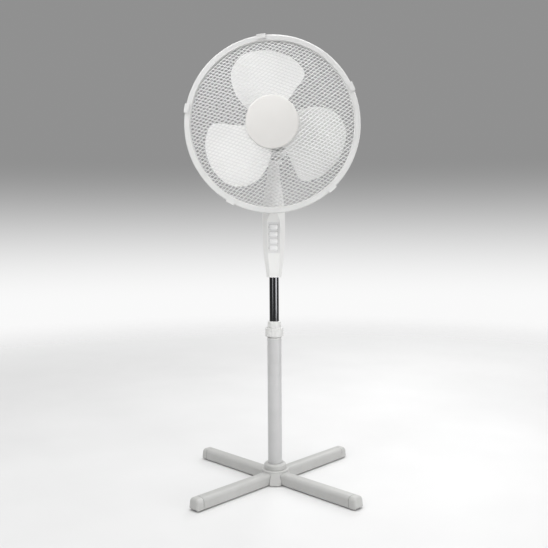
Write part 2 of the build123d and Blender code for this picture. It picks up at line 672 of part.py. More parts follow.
def housing_shells():
    """Front and rear shells, parted on the plane of the tilt axis."""
    gland_z = HOUSING_BOTTOM + GLAND_RISE
    body = housing_form(0) + [
        cylinder_y(GLAND_BOSS_RADIUS, HOUSING_FOOT_DEPTH - HOUSING_WALL, GLAND_SEAT, 0, gland_z),
        cylinder_x(CHEEK_RADIUS, -HOUSING_HEAD_WIDTH, HOUSING_HEAD_WIDTH),
    ]
    cuts = [
        housing_cavity(),
        cylinder_z(INNER_TUBE_RADIUS + FIXED_FIT, HOUSING_BOTTOM, INNER_TUBE_TOP),
        cylinder_y(GLAND_RADIUS + FIXED_FIT, 0, FAR, 0, gland_z),
        block(-PANEL_WIDTH / 2, PANEL_WIDTH / 2, -FAR, FRAME_BACK,
              PANEL_Z - PANEL_HEIGHT / 2, PANEL_Z + PANEL_HEIGHT / 2),
        block(-SLOT_HALF_WIDTH, SLOT_HALF_WIDTH, -FAR, FAR, TILT_Z, FAR),
        cylinder_x(SLOT_RADIUS, -SLOT_HALF_WIDTH, SLOT_HALF_WIDTH),
        cylinder_x(TILT_BOLT_RADIUS + FIXED_FIT, -FAR, FAR),
        cylinder_x(TILT_HEAD_RADIUS + LOOSE_FIT, BOLT_SEAT, FAR),
        cylinder_x(TILT_HEAD_RADIUS + LOOSE_FIT, -FAR, -BOLT_SEAT),
    ]
    for x, rise in SCREW_POSTS:
        z = HOUSING_BOTTOM + rise
        cuts.append(cylinder_y(SCREW_RADIUS + FIXED_FIT, SCREW_SEAT - SCREW_GRIP, SCREW_SEAT, x, z))
        cuts.append(cylinder_y(SCREW_HEAD_RADIUS + LOOSE_FIT, SCREW_SEAT, FAR, x, z))
    rear_half = block(-FAR, FAR, 0, FAR, 0, FAR)
    front_half = block(-FAR, FAR, -FAR, 0, 0, FAR)
    return body - [rear_half] - cuts, body - [front_half] - cuts


def housing_screws():
    """Screws from the rear shell into the front posts."""
    screws = []
    for x, rise in SCREW_POSTS:
        z = HOUSING_BOTTOM + rise
        head = cylinder_y(SCREW_HEAD_RADIUS, SCREW_SEAT, SCREW_SEAT + SCREW_HEAD_HEIGHT, x, z)
        screws.append(head + cylinder_y(SCREW_RADIUS, SCREW_SEAT - SCREW_GRIP, SCREW_SEAT, x, z))
    return Compound(children=screws)


def button_heights():
    """Centre height of each button, from the top one down."""
    top = PANEL_Z + BUTTON_PITCH * (len(BUTTON_NAMES) - 1) / 2
    return {name: top - BUTTON_PITCH * index for index, name in enumerate(BUTTON_NAMES)}


def button_panel():
    """Recessed panel with a lip behind the front shell and a window for each button."""
    half = PANEL_WIDTH / 2 - FIXED_FIT
    tall = PANEL_HEIGHT / 2 - FIXED_FIT
    plate = block(-half, half, PANEL_FRONT, FRAME_BACK, PANEL_Z - tall, PANEL_Z + tall)
    lip_half = PANEL_WIDTH / 2 + PANEL_LIP / 2
    lip_tall = PANEL_HEIGHT / 2 + PANEL_LIP / 2
    plate += block(-lip_half, lip_half, FRAME_BACK, PANEL_BACK, PANEL_Z - lip_tall, PANEL_Z + lip_tall)
    window = BUTTON_WIDTH / 2 + LOOSE_FIT
    tall = BUTTON_HEIGHT / 2 + LOOSE_FIT
    return plate - [block(-window, window, -FAR, FAR, z - tall, z + tall) for z in button_heights().values()]


def button(z):
    """Push button: rounded cap and a square stem into the switch block."""
    front = PANEL_FRONT - BUTTON_PROUD
    back = PANEL_BACK
    half = BUTTON_WIDTH / 2
    tall = BUTTON_HEIGHT / 2
    cap = block(-half, half, front, back, z - tall, z + tall)
    cap = fillet(cap.faces().sort_by(Axis.Y)[0].edges(), BUTTON_ROUNDING)
    stem = BUTTON_STEM / 2
    return cap + block(-stem, stem, back, back + BUTTON_STEM_LENGTH, z - stem, z + stem)


def switch_block():
    """Switch body behind the panel with a pocket for the caps and a hole for each stem."""
    half = PANEL_WIDTH / 2
    tall = PANEL_HEIGHT / 2
    body = block(-half, half, PANEL_BACK, PANEL_BACK + SWITCH_DEPTH, PANEL_Z - tall, PANEL_Z + tall)
    pocket = BUTTON_WIDTH / 2 + LOOSE_FIT
    pocket_tall = BUTTON_HEIGHT / 2 + LOOSE_FIT
    stem = BUTTON_STEM / 2 + LOOSE_FIT
    stem_room = BUTTON_STEM_LENGTH + BUTTON_TRAVEL + SWITCH_STEM_ROOM
    pocket_back = PANEL_BACK + SWITCH_POCKET
    cuts = []
    for z in button_heights().values():
        cuts.append(block(-pocket, pocket, PANEL_BACK, pocket_back, z - pocket_tall, z + pocket_tall))
        cuts.append(block(-stem, stem, pocket_back, PANEL_BACK + stem_room, z - stem, z + stem))
    return body - cuts


def capacitor():
    """Run capacitor on its rib in the rear shell."""
    half = CAPACITOR_WIDTH / 2
    low = HOUSING_BOTTOM + CAPACITOR_RISE
    back = CAPACITOR_FRONT + CAPACITOR_DEPTH
    return block(-half, half, CAPACITOR_FRONT, back, low, low + CAPACITOR_HEIGHT)


def cord_gland():
    """Cord inlet bush in the rear shell."""
    z = HOUSING_BOTTOM + GLAND_RISE
    inner = HOUSING_FOOT_DEPTH - HOUSING_WALL
    body = cylinder_y(GLAND_RADIUS, inner, GLAND_SEAT, 0, z)
    body += cylinder_y(GLAND_FLANGE_RADIUS, GLAND_SEAT, GLAND_SEAT + GLAND_FLANGE, 0, z)
    return body - cylinder_y(GLAND_BORE, inner, FAR, 0, z)


def tilt_bolt():
    """Hexagon-headed bolt through both cheeks and the neck's tongue."""
    head = hexagon_x(TILT_HEAD_RADIUS, -BOLT_SEAT - TILT_HEAD_HEIGHT, -BOLT_SEAT)
    return head + cylinder_x(TILT_BOLT_RADIUS, -BOLT_SEAT, BOLT_SEAT + TILT_HEAD_HEIGHT)


def tilt_nut():
    """Nut on the tilt bolt."""
    nut = hexagon_x(TILT_HEAD_RADIUS, BOLT_SEAT, BOLT_SEAT + TILT_HEAD_HEIGHT)
    return nut - cylinder_x(TILT_BOLT_RADIUS + FIXED_FIT, -FAR, FAR)


# Neck and linkage

def neck_pin_place():
    """Where the link is pinned to the neck's arm."""
    angle = math.radians(NECK_ARM_ANGLE)
    return NECK_ARM * math.cos(angle), NECK_ARM * math.sin(angle)


def crank_pin_place():
    """Where the crank pin stands with the head facing forward."""
    angle = math.radians(CRANK_ANGLE)
    return CRANK_THROW * math.cos(angle), CRANK_AXIS_Y + CRANK_THROW * math.sin(angle)


def neck():
    """Tapered neck: tongue in the clevis, bore for the swivel post, side arm for the link."""
    base = RectangleRounded(NECK_BASE_WIDTH, NECK_BASE_DEPTH, NECK_CORNER)
    top = RectangleRounded(NECK_TOP_WIDTH, NECK_TOP_DEPTH, NECK_CORNER)
    body = loft([Pos(0, 0, TILT_Z) * base, Pos(0, 0, NECK_TOP) * top])
    body -= cylinder_x(CHEEK_RADIUS + NECK_GAP, -FAR, FAR)
    half = TONGUE_WIDTH / 2
    web_top = TILT_Z + CHEEK_RADIUS + NECK_CORNER
    body += block(-half, half, -TONGUE_DEPTH / 2, TONGUE_DEPTH / 2, TILT_Z, web_top)
    body += cylinder_x(TONGUE_RADIUS, -half, half)
    pin_x, pin_y = neck_pin_place()
    arm_bottom = NECK_TOP - NECK_ARM_HEIGHT
    arm = block(0, NECK_ARM, -NECK_ARM_WIDTH / 2, NECK_ARM_WIDTH / 2, arm_bottom, NECK_TOP)
    body += Rot(0, 0, NECK_ARM_ANGLE) * arm
    body += cylinder_z(NECK_ARM_WIDTH / 2, arm_bottom, NECK_TOP, pin_x, pin_y)
    body -= cylinder_x(TILT_BOLT_RADIUS + RUNNING_FIT, -FAR, FAR)
    body -= cylinder_z(BUSH_RADIUS + FIXED_FIT, POST_BOTTOM, NECK_TOP)
    body -= cylinder_y(NECK_SCREW_RADIUS + FIXED_FIT, 0, FAR, 0, groove_height())
    body -= cylinder_z(LINK_PIN_RADIUS + FIXED_FIT, arm_bottom, NECK_TOP, pin_x, pin_y)
    return body


def groove_height():
    """Middle height of the groove that keeps the swivel post in the neck."""
    return POST_BOTTOM + POST_GROOVE_RISE + POST_GROOVE / 2


def swivel_bush():
    """Flanged bush in the neck that carries the swivel post."""
    body = cylinder_z(BUSH_RADIUS, POST_BOTTOM, NECK_TOP)
    body += cylinder_z(BUSH_FLANGE_RADIUS, NECK_TOP, NECK_TOP + BUSH_FLANGE)
    body -= cylinder_z(POST_RADIUS + RUNNING_FIT, POST_BOTTOM, FAR)
    return body - cylinder_y(NECK_SCREW_RADIUS + FIXED_FIT, 0, FAR, 0, groove_height())


def neck_screws():
    """Screw in the post's groove and the shouldered pin that carries the link."""
    z = groove_height()
    tip = POST_RADIUS - POST_GROOVE_DEPTH + LOOSE_FIT
    seat = NECK_TOP_DEPTH / 2
    keeper = cylinder_y(NECK_SCREW_RADIUS, tip, seat, 0, z)
    keeper += cylinder_y(NECK_SCREW_HEAD_RADIUS, seat, seat + NECK_SCREW_HEAD, 0, z)
    pin_x, pin_y = neck_pin_place()
    head_bottom = LINK_TOP + LINK_LIFT
    pin = cylinder_z(LINK_PIN_RADIUS, NECK_TOP - NECK_ARM_HEIGHT, head_bottom, pin_x, pin_y)
    pin += cylinder_z(LINK_PIN_HEAD_RADIUS, head_bottom, LINK_PIN_TOP, pin_x, pin_y)
    return Compound(children=[keeper, pin])


def link():
    """Flat link from the neck's arm to the crank pin, with a wide eye at the crank."""
    pin_bore = LINK_PIN_RADIUS + RUNNING_FIT
    eye_bore = CRANK_PIN_RADIUS + LINK_EYE_ROOM
    eye_radius = eye_bore + LINK_EYE_WALL
    pin_x, pin_y = neck_pin_place()
    bar = block(0, LINK_LENGTH, -LINK_WIDTH / 2, LINK_WIDTH / 2, LINK_BOTTOM, LINK_TOP)
    body = bar + cylinder_z(LINK_WIDTH / 2, LINK_BOTTOM, LINK_TOP)
    body += cylinder_z(eye_radius, LINK_BOTTOM, LINK_TOP, LINK_LENGTH)
    body -= cylinder_z(pin_bore, LINK_BOTTOM, LINK_TOP)
    body -= cylinder_z(eye_bore, LINK_BOTTOM, LINK_TOP, LINK_LENGTH)
    return Pos(pin_x, pin_y, 0) * Rot(0, 0, LINK_ANGLE) * body


def crank():
    """Crank: gear inside the case, shaft through its floor, disc and pin below."""
    disc_radius = CRANK_THROW + CRANK_PIN_RADIUS + LOOSE_FIT
    pin_x, pin_y = crank_pin_place()
    body = gear(CRANK_GEAR_RADIUS, CRANK_GEAR_TEETH, GEAR_TOOTH_DEPTH,
                GEAR_BOTTOM, GEAR_BOTTOM + GEAR_THICKNESS, 0, CRANK_AXIS_Y)
    body += cylinder_z(CRANK_SHAFT_RADIUS, CRANK_DISC_BOTTOM, GEAR_BOTTOM, 0, CRANK_AXIS_Y)
    body += cylinder_z(disc_radius, CRANK_DISC_BOTTOM, CRANK_DISC_TOP, 0, CRANK_AXIS_Y)
    pin_bottom = NECK_TOP + LINK_LIFT / 2
    return body + cylinder_z(CRANK_PIN_RADIUS, pin_bottom, CRANK_DISC_BOTTOM, pin_x, pin_y)


# Gearbox

def case_sides():
    """Left and right inner walls of the case, low part and high part."""
    low_left = -(CRANK_GEAR_RADIUS + CASE_SIDE_ROOM)
    low_right = SPINDLE_X + PINION_RADIUS + CASE_SIDE_ROOM
    high_left = -(SPINDLE_X - CASE_SIDE_ROOM)
    high_right = SPINDLE_X + WHEEL_RADIUS + CASE_SIDE_ROOM
    return (low_left, low_right), (high_left, high_right)


def case_form(inset, y0, y1):
    """Stepped box of the gearbox, outer or inner."""
    (low_left, low_right), (high_left, high_right) = case_sides()
    step = AXIS_Z - CASE_STEP_DROP
    wall = CASE_WALL - inset
    low = block(low_left - wall, low_right + wall, y0, y1, CASE_BOTTOM + inset, step + wall)
    high = block(high_left - wall, high_right + wall, y0, y1, step - wall, CASE_ROOF + wall)
    return low + high


def gearbox_case():
    """Cast case behind the motor with the boss for the swivel post."""
    body = case_form(0, FRAME_BACK_Y, CASE_REAR_Y)
    body -= case_form(CASE_WALL, FRAME_BACK_Y + CASE_WALL, CASE_REAR_Y)
    body += cylinder_z(BUSH_FLANGE_RADIUS, BOSS_BOTTOM, CASE_BOTTOM)
    body -= cylinder_z(POST_RADIUS + FIXED_FIT, BOSS_BOTTOM, CASE_FLOOR)
    body -= cylinder_z(CRANK_SHAFT_RADIUS + RUNNING_FIT, CASE_BOTTOM, CASE_FLOOR, 0, CRANK_AXIS_Y)
    body -= cylinder_z(SPINDLE_RADIUS + RUNNING_FIT, CASE_BOTTOM, FAR, SPINDLE_X, SPINDLE_Y)
    return body - cylinder_y(REAR_BOSS_RADIUS + FIXED_FIT, FRAME_BACK_Y, FRAME_BACK_Y + CASE_WALL)


def lid_boss_places():
    """Places of the two bosses that carry the motor cover."""
    return [(0.0, AXIS_Z + rise) for rise in LID_BOSS_RISES]


def gearbox_lid():
    """Plate over the open rear of the case with two bosses for the cover screws."""
    body = case_form(0, CASE_REAR_Y, LID_BACK_Y)
    for x, z in lid_boss_places():
        body += cylinder_y(LID_BOSS_RADIUS, LID_BACK_Y, COVER_BACK_Y - COVER_WALL, x, z)
        body -= cylinder_y(COVER_SCREW_RADIUS + FIXED_FIT, CASE_REAR_Y, FAR, x, z)
    return body


def swivel_post():
    """Steel post fixed in the case floor, turning in the neck."""
    groove_low = POST_BOTTOM + POST_GROOVE_RISE
    body = cylinder_z(POST_RADIUS, POST_BOTTOM + THRUST_GAP, CASE_FLOOR)
    body += cylinder_z(POST_HEAD_RADIUS, CASE_FLOOR, CASE_FLOOR + POST_HEAD)
    return body - tube_z(POST_RADIUS, POST_RADIUS - POST_GROOVE_DEPTH, groove_low, groove_low + POST_GROOVE)


def worm_wheel():
    """Wheel beside the worm, free on the clutch spindle."""
    body = gear(WHEEL_RADIUS, WHEEL_TEETH, GEAR_TOOTH_DEPTH,
                WHEEL_TOP - WHEEL_THICKNESS, WHEEL_TOP, SPINDLE_X, SPINDLE_Y)
    return body - cylinder_z(SPINDLE_RADIUS + RUNNING_FIT, 0, FAR, SPINDLE_X, SPINDLE_Y)


def clutch_pinion():
    """Small gear on the spindle that drives the crank gear."""
    body = gear(PINION_RADIUS, PINION_TEETH, GEAR_TOOTH_DEPTH / 2,
                GEAR_BOTTOM, GEAR_BOTTOM + GEAR_THICKNESS, SPINDLE_X, SPINDLE_Y)
    return body - cylinder_z(SPINDLE_RADIUS + RUNNING_FIT, 0, FAR, SPINDLE_X, SPINDLE_Y)


def clutch_spindle():
    """Sliding spindle from the case floor up into the knob, with the clutch collar."""
    bottom = CASE_FLOOR + KNOB_TRAVEL - CASE_WALL
    body = cylinder_z(SPINDLE_RADIUS, bottom, KNOB_BOTTOM + KNOB_GRIP, SPINDLE_X, SPINDLE_Y)
    collar_top = COLLAR_BOTTOM + SPINDLE_COLLAR
    return body + cylinder_z(SPINDLE_COLLAR_RADIUS, COLLAR_BOTTOM, collar_top, SPINDLE_X, SPINDLE_Y)


def oscillation_knob():
    """Fluted knob on top of the spindle: pushed down to oscillate, pulled up to stop."""
    top = KNOB_BOTTOM + KNOB_HEIGHT
    body = cylinder_z(KNOB_RADIUS, KNOB_BOTTOM, top, SPINDLE_X, SPINDLE_Y)
    body = fillet(body.faces().sort_by(Axis.Z)[-1].edges(), KNOB_ROUNDING)
    grip_top = KNOB_BOTTOM + KNOB_GRIP
    cuts = [cylinder_z(SPINDLE_RADIUS + FIXED_FIT, KNOB_BOTTOM, grip_top, SPINDLE_X, SPINDLE_Y)]
    for x, y in round_places(KNOB_FLUTES, KNOB_RADIUS + KNOB_FLUTE_RADIUS / 2):
        cuts.append(cylinder_z(KNOB_FLUTE_RADIUS, KNOB_BOTTOM, top, SPINDLE_X + x, SPINDLE_Y + y))
    return body - cuts


# Motor

def motor_front_frame():
    """Front end frame: cup, boss for the guard nut and front bearing."""
    bearing_back = FRAME_FRONT_Y - FRONT_BOSS_LENGTH + BEARING_WIDTH + FIXED_FIT
    body = cylinder_y(FRAME_RADIUS, FRAME_FRONT_Y, FRAME_SPLIT_Y)
    body += cylinder_y(FRONT_BOSS_RADIUS, FRAME_FRONT_Y - FRONT_BOSS_LENGTH, FRAME_FRONT_Y)
    body -= cylinder_y(STATOR_RADIUS + FIXED_FIT, FRAME_FRONT_Y + FRAME_WALL, FRAME_SPLIT_Y)
    body -= cylinder_y(SHAFT_HOLE_RADIUS, -FAR, FRAME_SPLIT_Y)
    return body - cylinder_y(BEARING_RADIUS + FIXED_FIT, -FAR, bearing_back)


def motor_rear_frame():
    """Rear end frame: cup and boss for the rear bearing."""
    bearing_front = FRAME_BACK_Y + REAR_BOSS_LENGTH - BEARING_WIDTH - FIXED_FIT
    body = cylinder_y(FRAME_RADIUS, FRAME_SPLIT_Y, FRAME_BACK_Y)
    body += cylinder_y(REAR_BOSS_RADIUS, FRAME_BACK_Y, FRAME_BACK_Y + REAR_BOSS_LENGTH)
    body -= cylinder_y(STATOR_RADIUS + FIXED_FIT, FRAME_SPLIT_Y, FRAME_BACK_Y - FRAME_WALL)
    body -= cylinder_y(SHAFT_HOLE_RADIUS, FRAME_SPLIT_Y, FAR)
    return body - cylinder_y(BEARING_RADIUS + FIXED_FIT, bearing_front, FAR)


def motor_bearings():
    """Front and rear bearings."""
    bore = SHAFT_RADIUS + RUNNING_FIT
    front = FRAME_FRONT_Y - FRONT_BOSS_LENGTH
    rear = FRAME_BACK_Y + REAR_BOSS_LENGTH - BEARING_WIDTH
    places = (front, rear)
    return Compound(children=[tube_y(BEARING_RADIUS, bore, y, y + BEARING_WIDTH) for y in places])


def stator_span():
    """Front and back of the stator stack, centred on the split of the frames."""
    return FRAME_SPLIT_Y - STATOR_STACK / 2, FRAME_SPLIT_Y + STATOR_STACK / 2


def stator_core():
    """Laminated ring with winding slots."""
    front, back = stator_span()
    body = tube_y(STATOR_RADIUS, ROTOR_RADIUS + AIR_GAP, front, back)
    places = round_places(STATOR_SLOTS, STATOR_SLOT_AT)
    return body - [cylinder_y(STATOR_SLOT_RADIUS, front, back, x, AXIS_Z + z) for x, z in places]


def stator_windings():
    """End turns of the winding at both ends of the stack."""
    front, back = stator_span()
    rings = (
        tube_y(WINDING_OUTER, WINDING_INNER, front - WINDING_LENGTH, front),
        tube_y(WINDING_OUTER, WINDING_INNER, back, back + WINDING_LENGTH),
    )
    return Compound(children=list(rings))


def rotor():
    """Rotor on the shaft inside the stator."""
    front, back = stator_span()
    return tube_y(ROTOR_RADIUS, SHAFT_RADIUS + FIXED_FIT, front, back)


def motor_shaft():
    """Shaft from the blade nut through both bearings, with the worm at its tail."""
    body = cylinder_y(SHAFT_RADIUS, SHAFT_NOSE_Y, SHAFT_TAIL_Y)
    worm_front = SPINDLE_Y - WORM_LENGTH / 2
    body += cylinder_y(WORM_RADIUS, worm_front, worm_front + WORM_LENGTH)
    pin_y = BLADE_BACK_Y - DRIVE_PIN_RADIUS - FIXED_FIT
    return body - cylinder_x(DRIVE_PIN_RADIUS + FIXED_FIT, -FAR, FAR, pin_y, AXIS_Z)


def cover_form(inset):
    """Outer or inner form of the motor cover: domed drum with a chin for the gearbox."""
    radius = COVER_RADIUS - inset
    back = COVER_BACK_Y - inset
    dome_start = COVER_BACK_Y - COVER_DOME
    drum_edge = (radius, dome_start)
    dome_edge = (COVER_DOME_FLAT - inset, back)
    lean = math.sqrt(0.5)
    dome_middle = (
        dome_edge[0] + (radius - dome_edge[0]) * lean,
        dome_start + (back - dome_start) * lean,
    )
    outline = Polyline(dome_edge, (0, back), (0, COVER_FRONT_Y), (radius, COVER_FRONT_Y), drum_edge)
    outline += ThreePointArc(drum_edge, dome_middle, dome_edge)
    drum = revolve(make_face(outline), Axis.Y)
    half = CHIN_HALF_WIDTH - inset
    chin_bottom = CASE_BOTTOM - CHIN_HANG - AXIS_Z - inset
    chin = block(-half, half, CHIN_FRONT_Y + inset, back - CHIN_TUCK, chin_bottom, 0)
    chin = fillet(chin.edges().filter_by(Axis.Z), CHIN_CORNER - inset)
    return Pos(0, 0, AXIS_Z) * (drum + chin)


def motor_cover():
    """Moulded cover over motor and gearbox, open in front and under the chin."""
    cuts = [cylinder_z(SPINDLE_RADIUS + LOOSE_FIT, AXIS_Z, FAR, SPINDLE_X, SPINDLE_Y)]
    for x, z in lid_boss_places():
        cuts.append(cylinder_y(COVER_SCREW_RADIUS + FIXED_FIT, LID_BACK_Y, FAR, x, z))
    slot = block(VENT_INNER, VENT_OUTER, COVER_BACK_Y - 2 * COVER_WALL, COVER_BACK_Y + 1,
                 -VENT_WIDTH / 2, VENT_WIDTH / 2)
    for index in range(VENT_COUNT):
        turn = 360 * (index + 0.5) / VENT_COUNT
        cuts.append(Pos(0, 0, AXIS_Z) * Rot(0, turn, 0) * slot)
    return cover_form(0) - cover_form(COVER_WALL) - cuts


def cover_screws():
    """Screws through the cover into the lid bosses."""
    screws = []
    for x, z in lid_boss_places():
        head = cylinder_y(COVER_SCREW_HEAD_RADIUS, COVER_BACK_Y, COVER_BACK_Y + COVER_SCREW_HEAD, x, z)
        screws.append(head + cylinder_y(COVER_SCREW_RADIUS, CASE_REAR_Y, COVER_BACK_Y, x, z))
    return Compound(children=screws)


# Guards

def dish_radius(depth, lap_radius):
    """Radius and centre drop of the sphere from the rim to a lap circle at a depth."""
    drop = (MESH_RADIUS**2 - lap_radius**2 - depth**2) / (2 * depth)
    return math.sqrt(MESH_RADIUS**2 + drop**2), drop


def dish_strands(depth, lap_radius):
    """Two crossing layers of strands on a dish whose pole points up, rim at height zero."""
    radius, drop = dish_radius(depth, lap_radius)
    strands = []
    for layer, angle in enumerate(STRAND_ANGLES):
        outer = radius - layer * STRAND_THICKNESS
        shell = Sphere(outer) - Sphere(outer - STRAND_THICKNESS)
        shell &= cylinder_z(MESH_RADIUS, drop - RIM_WIRE / 2, FAR)
        if lap_radius > 0:
            shell -= cylinder_z(lap_radius, 0, FAR)
        count = int(MESH_RADIUS / MESH_PITCH)
        for index in range(count + 1):
            slab = block(-FAR, FAR, -STRAND_WIDTH / 2, STRAND_WIDTH / 2, 0, FAR)
            pieces = (shell & (Pos(0, index * MESH_PITCH, 0) * slab)).solids()
            turns = (angle,) if index == 0 else (angle, angle + 180)
            for turn in turns:
                strands += [Pos(0, 0, -drop) * Rot(0, 0, turn) * piece for piece in pieces]
    return strands


def rim_wire(y):
    """Rim of a guard: a closed ring of round wire."""
    ring = Torus(RIM_RADIUS, RIM_WIRE / 2)
    return Pos(0, y, AXIS_Z) * Rot(90, 0, 0) * ring


def front_guard():
    """Front guard: rim and domed diamond mesh."""
    strands = dish_strands(FRONT_DEPTH, 0)
    place = Pos(0, FRONT_RIM_Y, AXIS_Z) * Rot(90, 0, 0)
    return Compound(children=[rim_wire(FRONT_RIM_Y)] + [place * strand for strand in strands])


def rear_guard():
    """Rear guard: rim, dished diamond mesh and the plate that seats on the motor."""
    lap = PLATE_RADIUS - PLATE_LAP
    place = Pos(0, REAR_RIM_Y, AXIS_Z) * Rot(-90, 0, 0)
    pieces = [place * strand for strand in dish_strands(REAR_DEPTH, lap)]
    pieces.append(rim_wire(REAR_RIM_Y))
    pieces.append(tube_y(PLATE_RADIUS, FRONT_BOSS_RADIUS + FIXED_FIT, PLATE_Y, PLATE_Y + PLATE_THICKNESS))
    return Compound(children=pieces)


def guard_nut():
    """Ring nut that holds the rear guard on the motor boss."""
    back = PLATE_Y
    front = back - GUARD_NUT_HEIGHT
    body = cylinder_y(GUARD_NUT_RADIUS, front, back)
    cuts = [cylinder_y(FRONT_BOSS_RADIUS + FIXED_FIT, front, back)]
    for x, z in round_places(GUARD_NUT_GRIPS, GUARD_NUT_RADIUS):
        cuts.append(cylinder_y(GUARD_NUT_GRIP_RADIUS, front, back, x, AXIS_Z + z))
    return body - cuts


def guard_band():
    """Channel-shaped band round both rims."""
    half = BAND_WIDTH / 2
    lip = BAND_RADIUS - BAND_LIP
    body = cylinder_y(BAND_RADIUS, RIM_Y - half, RIM_Y + half)
    ends = body.faces().sort_by(Axis.Y)[0].edges() + body.faces().sort_by(Axis.Y)[-1].edges()
    body = fillet(ends, BAND_EDGE)
    body -= cylinder_y(lip, RIM_Y - half, RIM_Y + half)
    return body - tube_y(BAND_BORE, lip, RIM_Y - half + BAND_WALL, RIM_Y + half - BAND_WALL)


def guard_clips():
    """Clips over the band, evenly spaced."""
    half = BAND_WIDTH / 2 + FIXED_FIT
    outer = BAND_RADIUS + CLIP_WALL
    body = block(BAND_RADIUS - CLIP_REACH, outer, -half - CLIP_WALL, half + CLIP_WALL,
                 -CLIP_WIDTH / 2, CLIP_WIDTH / 2)
    body &= cylinder_y(outer, -FAR, FAR, 0, 0)
    body -= cylinder_y(BAND_RADIUS + FIXED_FIT, -half, half, 0, 0)
    clips = []
    for index in range(CLIP_COUNT):
        turn = CLIP_START + 360 * index / CLIP_COUNT
        clips.append(Pos(0, RIM_Y, AXIS_Z) * Rot(0, -turn, 0) * body)
    return Compound(children=clips)


def centre_badge():
    """Plain domed disc on the middle of the front guard."""
    radius, drop = dish_radius(FRONT_DEPTH, 0)
    body = Sphere(radius + BADGE_THICKNESS) - Sphere(radius + LOOSE_FIT)
    body &= cylinder_z(BADGE_RADIUS, 0, FAR)
    rims = body.edges().filter_by(lambda edge: edge.geom_type == GeomType.CIRCLE and edge.radius < radius / 2)
    body = fillet(rims.sort_by(Axis.Z)[-1], BADGE_EDGE)
    return Pos(0, FRONT_RIM_Y, AXIS_Z) * Rot(90, 0, 0) * Pos(0, 0, -drop) * body


# Blade

def blade_lobe():
    """Upper lobe: outline pushed through a pitched, cambered sheet; shaft axis at the origin."""
    first = BLADE_OUTLINE[0]
    last = BLADE_OUTLINE[-1]
    outline = Spline(*BLADE_OUTLINE) + Line(last, first)
    reach = BLADE_HUB_RADIUS
    prism = extrude(Plane.XZ * make_face(outline), reach, both=True)
    sheet = cylinder_z(BLADE_CAMBER_RADIUS + BLADE_THICKNESS / 2, -FAR, FAR)
    sheet -= cylinder_z(BLADE_CAMBER_RADIUS - BLADE_THICKNESS / 2, -FAR, FAR)
    sheet &= block(-FAR, FAR, 0, FAR, -FAR, FAR)
    sheet = Pos(0, BLADE_SET_BACK, 0) * Rot(0, 0, BLADE_PITCH) * Pos(0, -BLADE_CAMBER_RADIUS, 0) * sheet
    return prism & sheet


def fan_blade():
    """Three lobes on a cup-shaped hub with a bored boss and a slot for the drive pin."""
    half = BLADE_HUB_DEPTH / 2
    hub = cylinder_y(BLADE_HUB_RADIUS, -half, half, 0, 0)
    hub -= cylinder_y(BLADE_HUB_RADIUS - BLADE_HUB_WALL, BLADE_HUB_WALL - half, half, 0, 0)
    lobe = blade_lobe() - cylinder_y(BLADE_HUB_RADIUS - BLADE_HUB_WALL / 2, -FAR, FAR, 0, 0)
    for index in range(BLADE_COUNT):
        hub += Rot(0, 360 * index / BLADE_COUNT, 0) * lobe
    hub += cylinder_y(BLADE_BOSS_RADIUS, -half, half, 0, 0)
    hub -= cylinder_y(SHAFT_RADIUS + FIXED_FIT, -FAR, FAR, 0, 0)
    slot = DRIVE_PIN_RADIUS + FIXED_FIT
    hub -= block(-BLADE_BOSS_RADIUS, BLADE_BOSS_RADIUS, half - 2 * slot, half, -slot, slot)
    return Pos(0, BLADE_Y, AXIS_Z) * hub


def drive_pin():
    """Cross pin through the shaft that drives the blade."""
    half = DRIVE_PIN_LENGTH / 2
    pin_y = BLADE_BACK_Y - DRIVE_PIN_RADIUS - FIXED_FIT
    return cylinder_x(DRIVE_PIN_RADIUS, -half, half, pin_y, AXIS_Z)


def blade_nut():
    """Rounded nut that holds the blade on the shaft."""
    body = cylinder_y(BLADE_NUT_RADIUS, BLADE_FRONT_Y - BLADE_NUT_HEIGHT, BLADE_FRONT_Y)
    body = fillet(body.faces().sort_by(Axis.Y)[0].edges(), BLADE_NUT_EDGE)
    return body - cylinder_y(SHAFT_RADIUS + FIXED_FIT, SHAFT_NOSE_Y, BLADE_FRONT_Y)


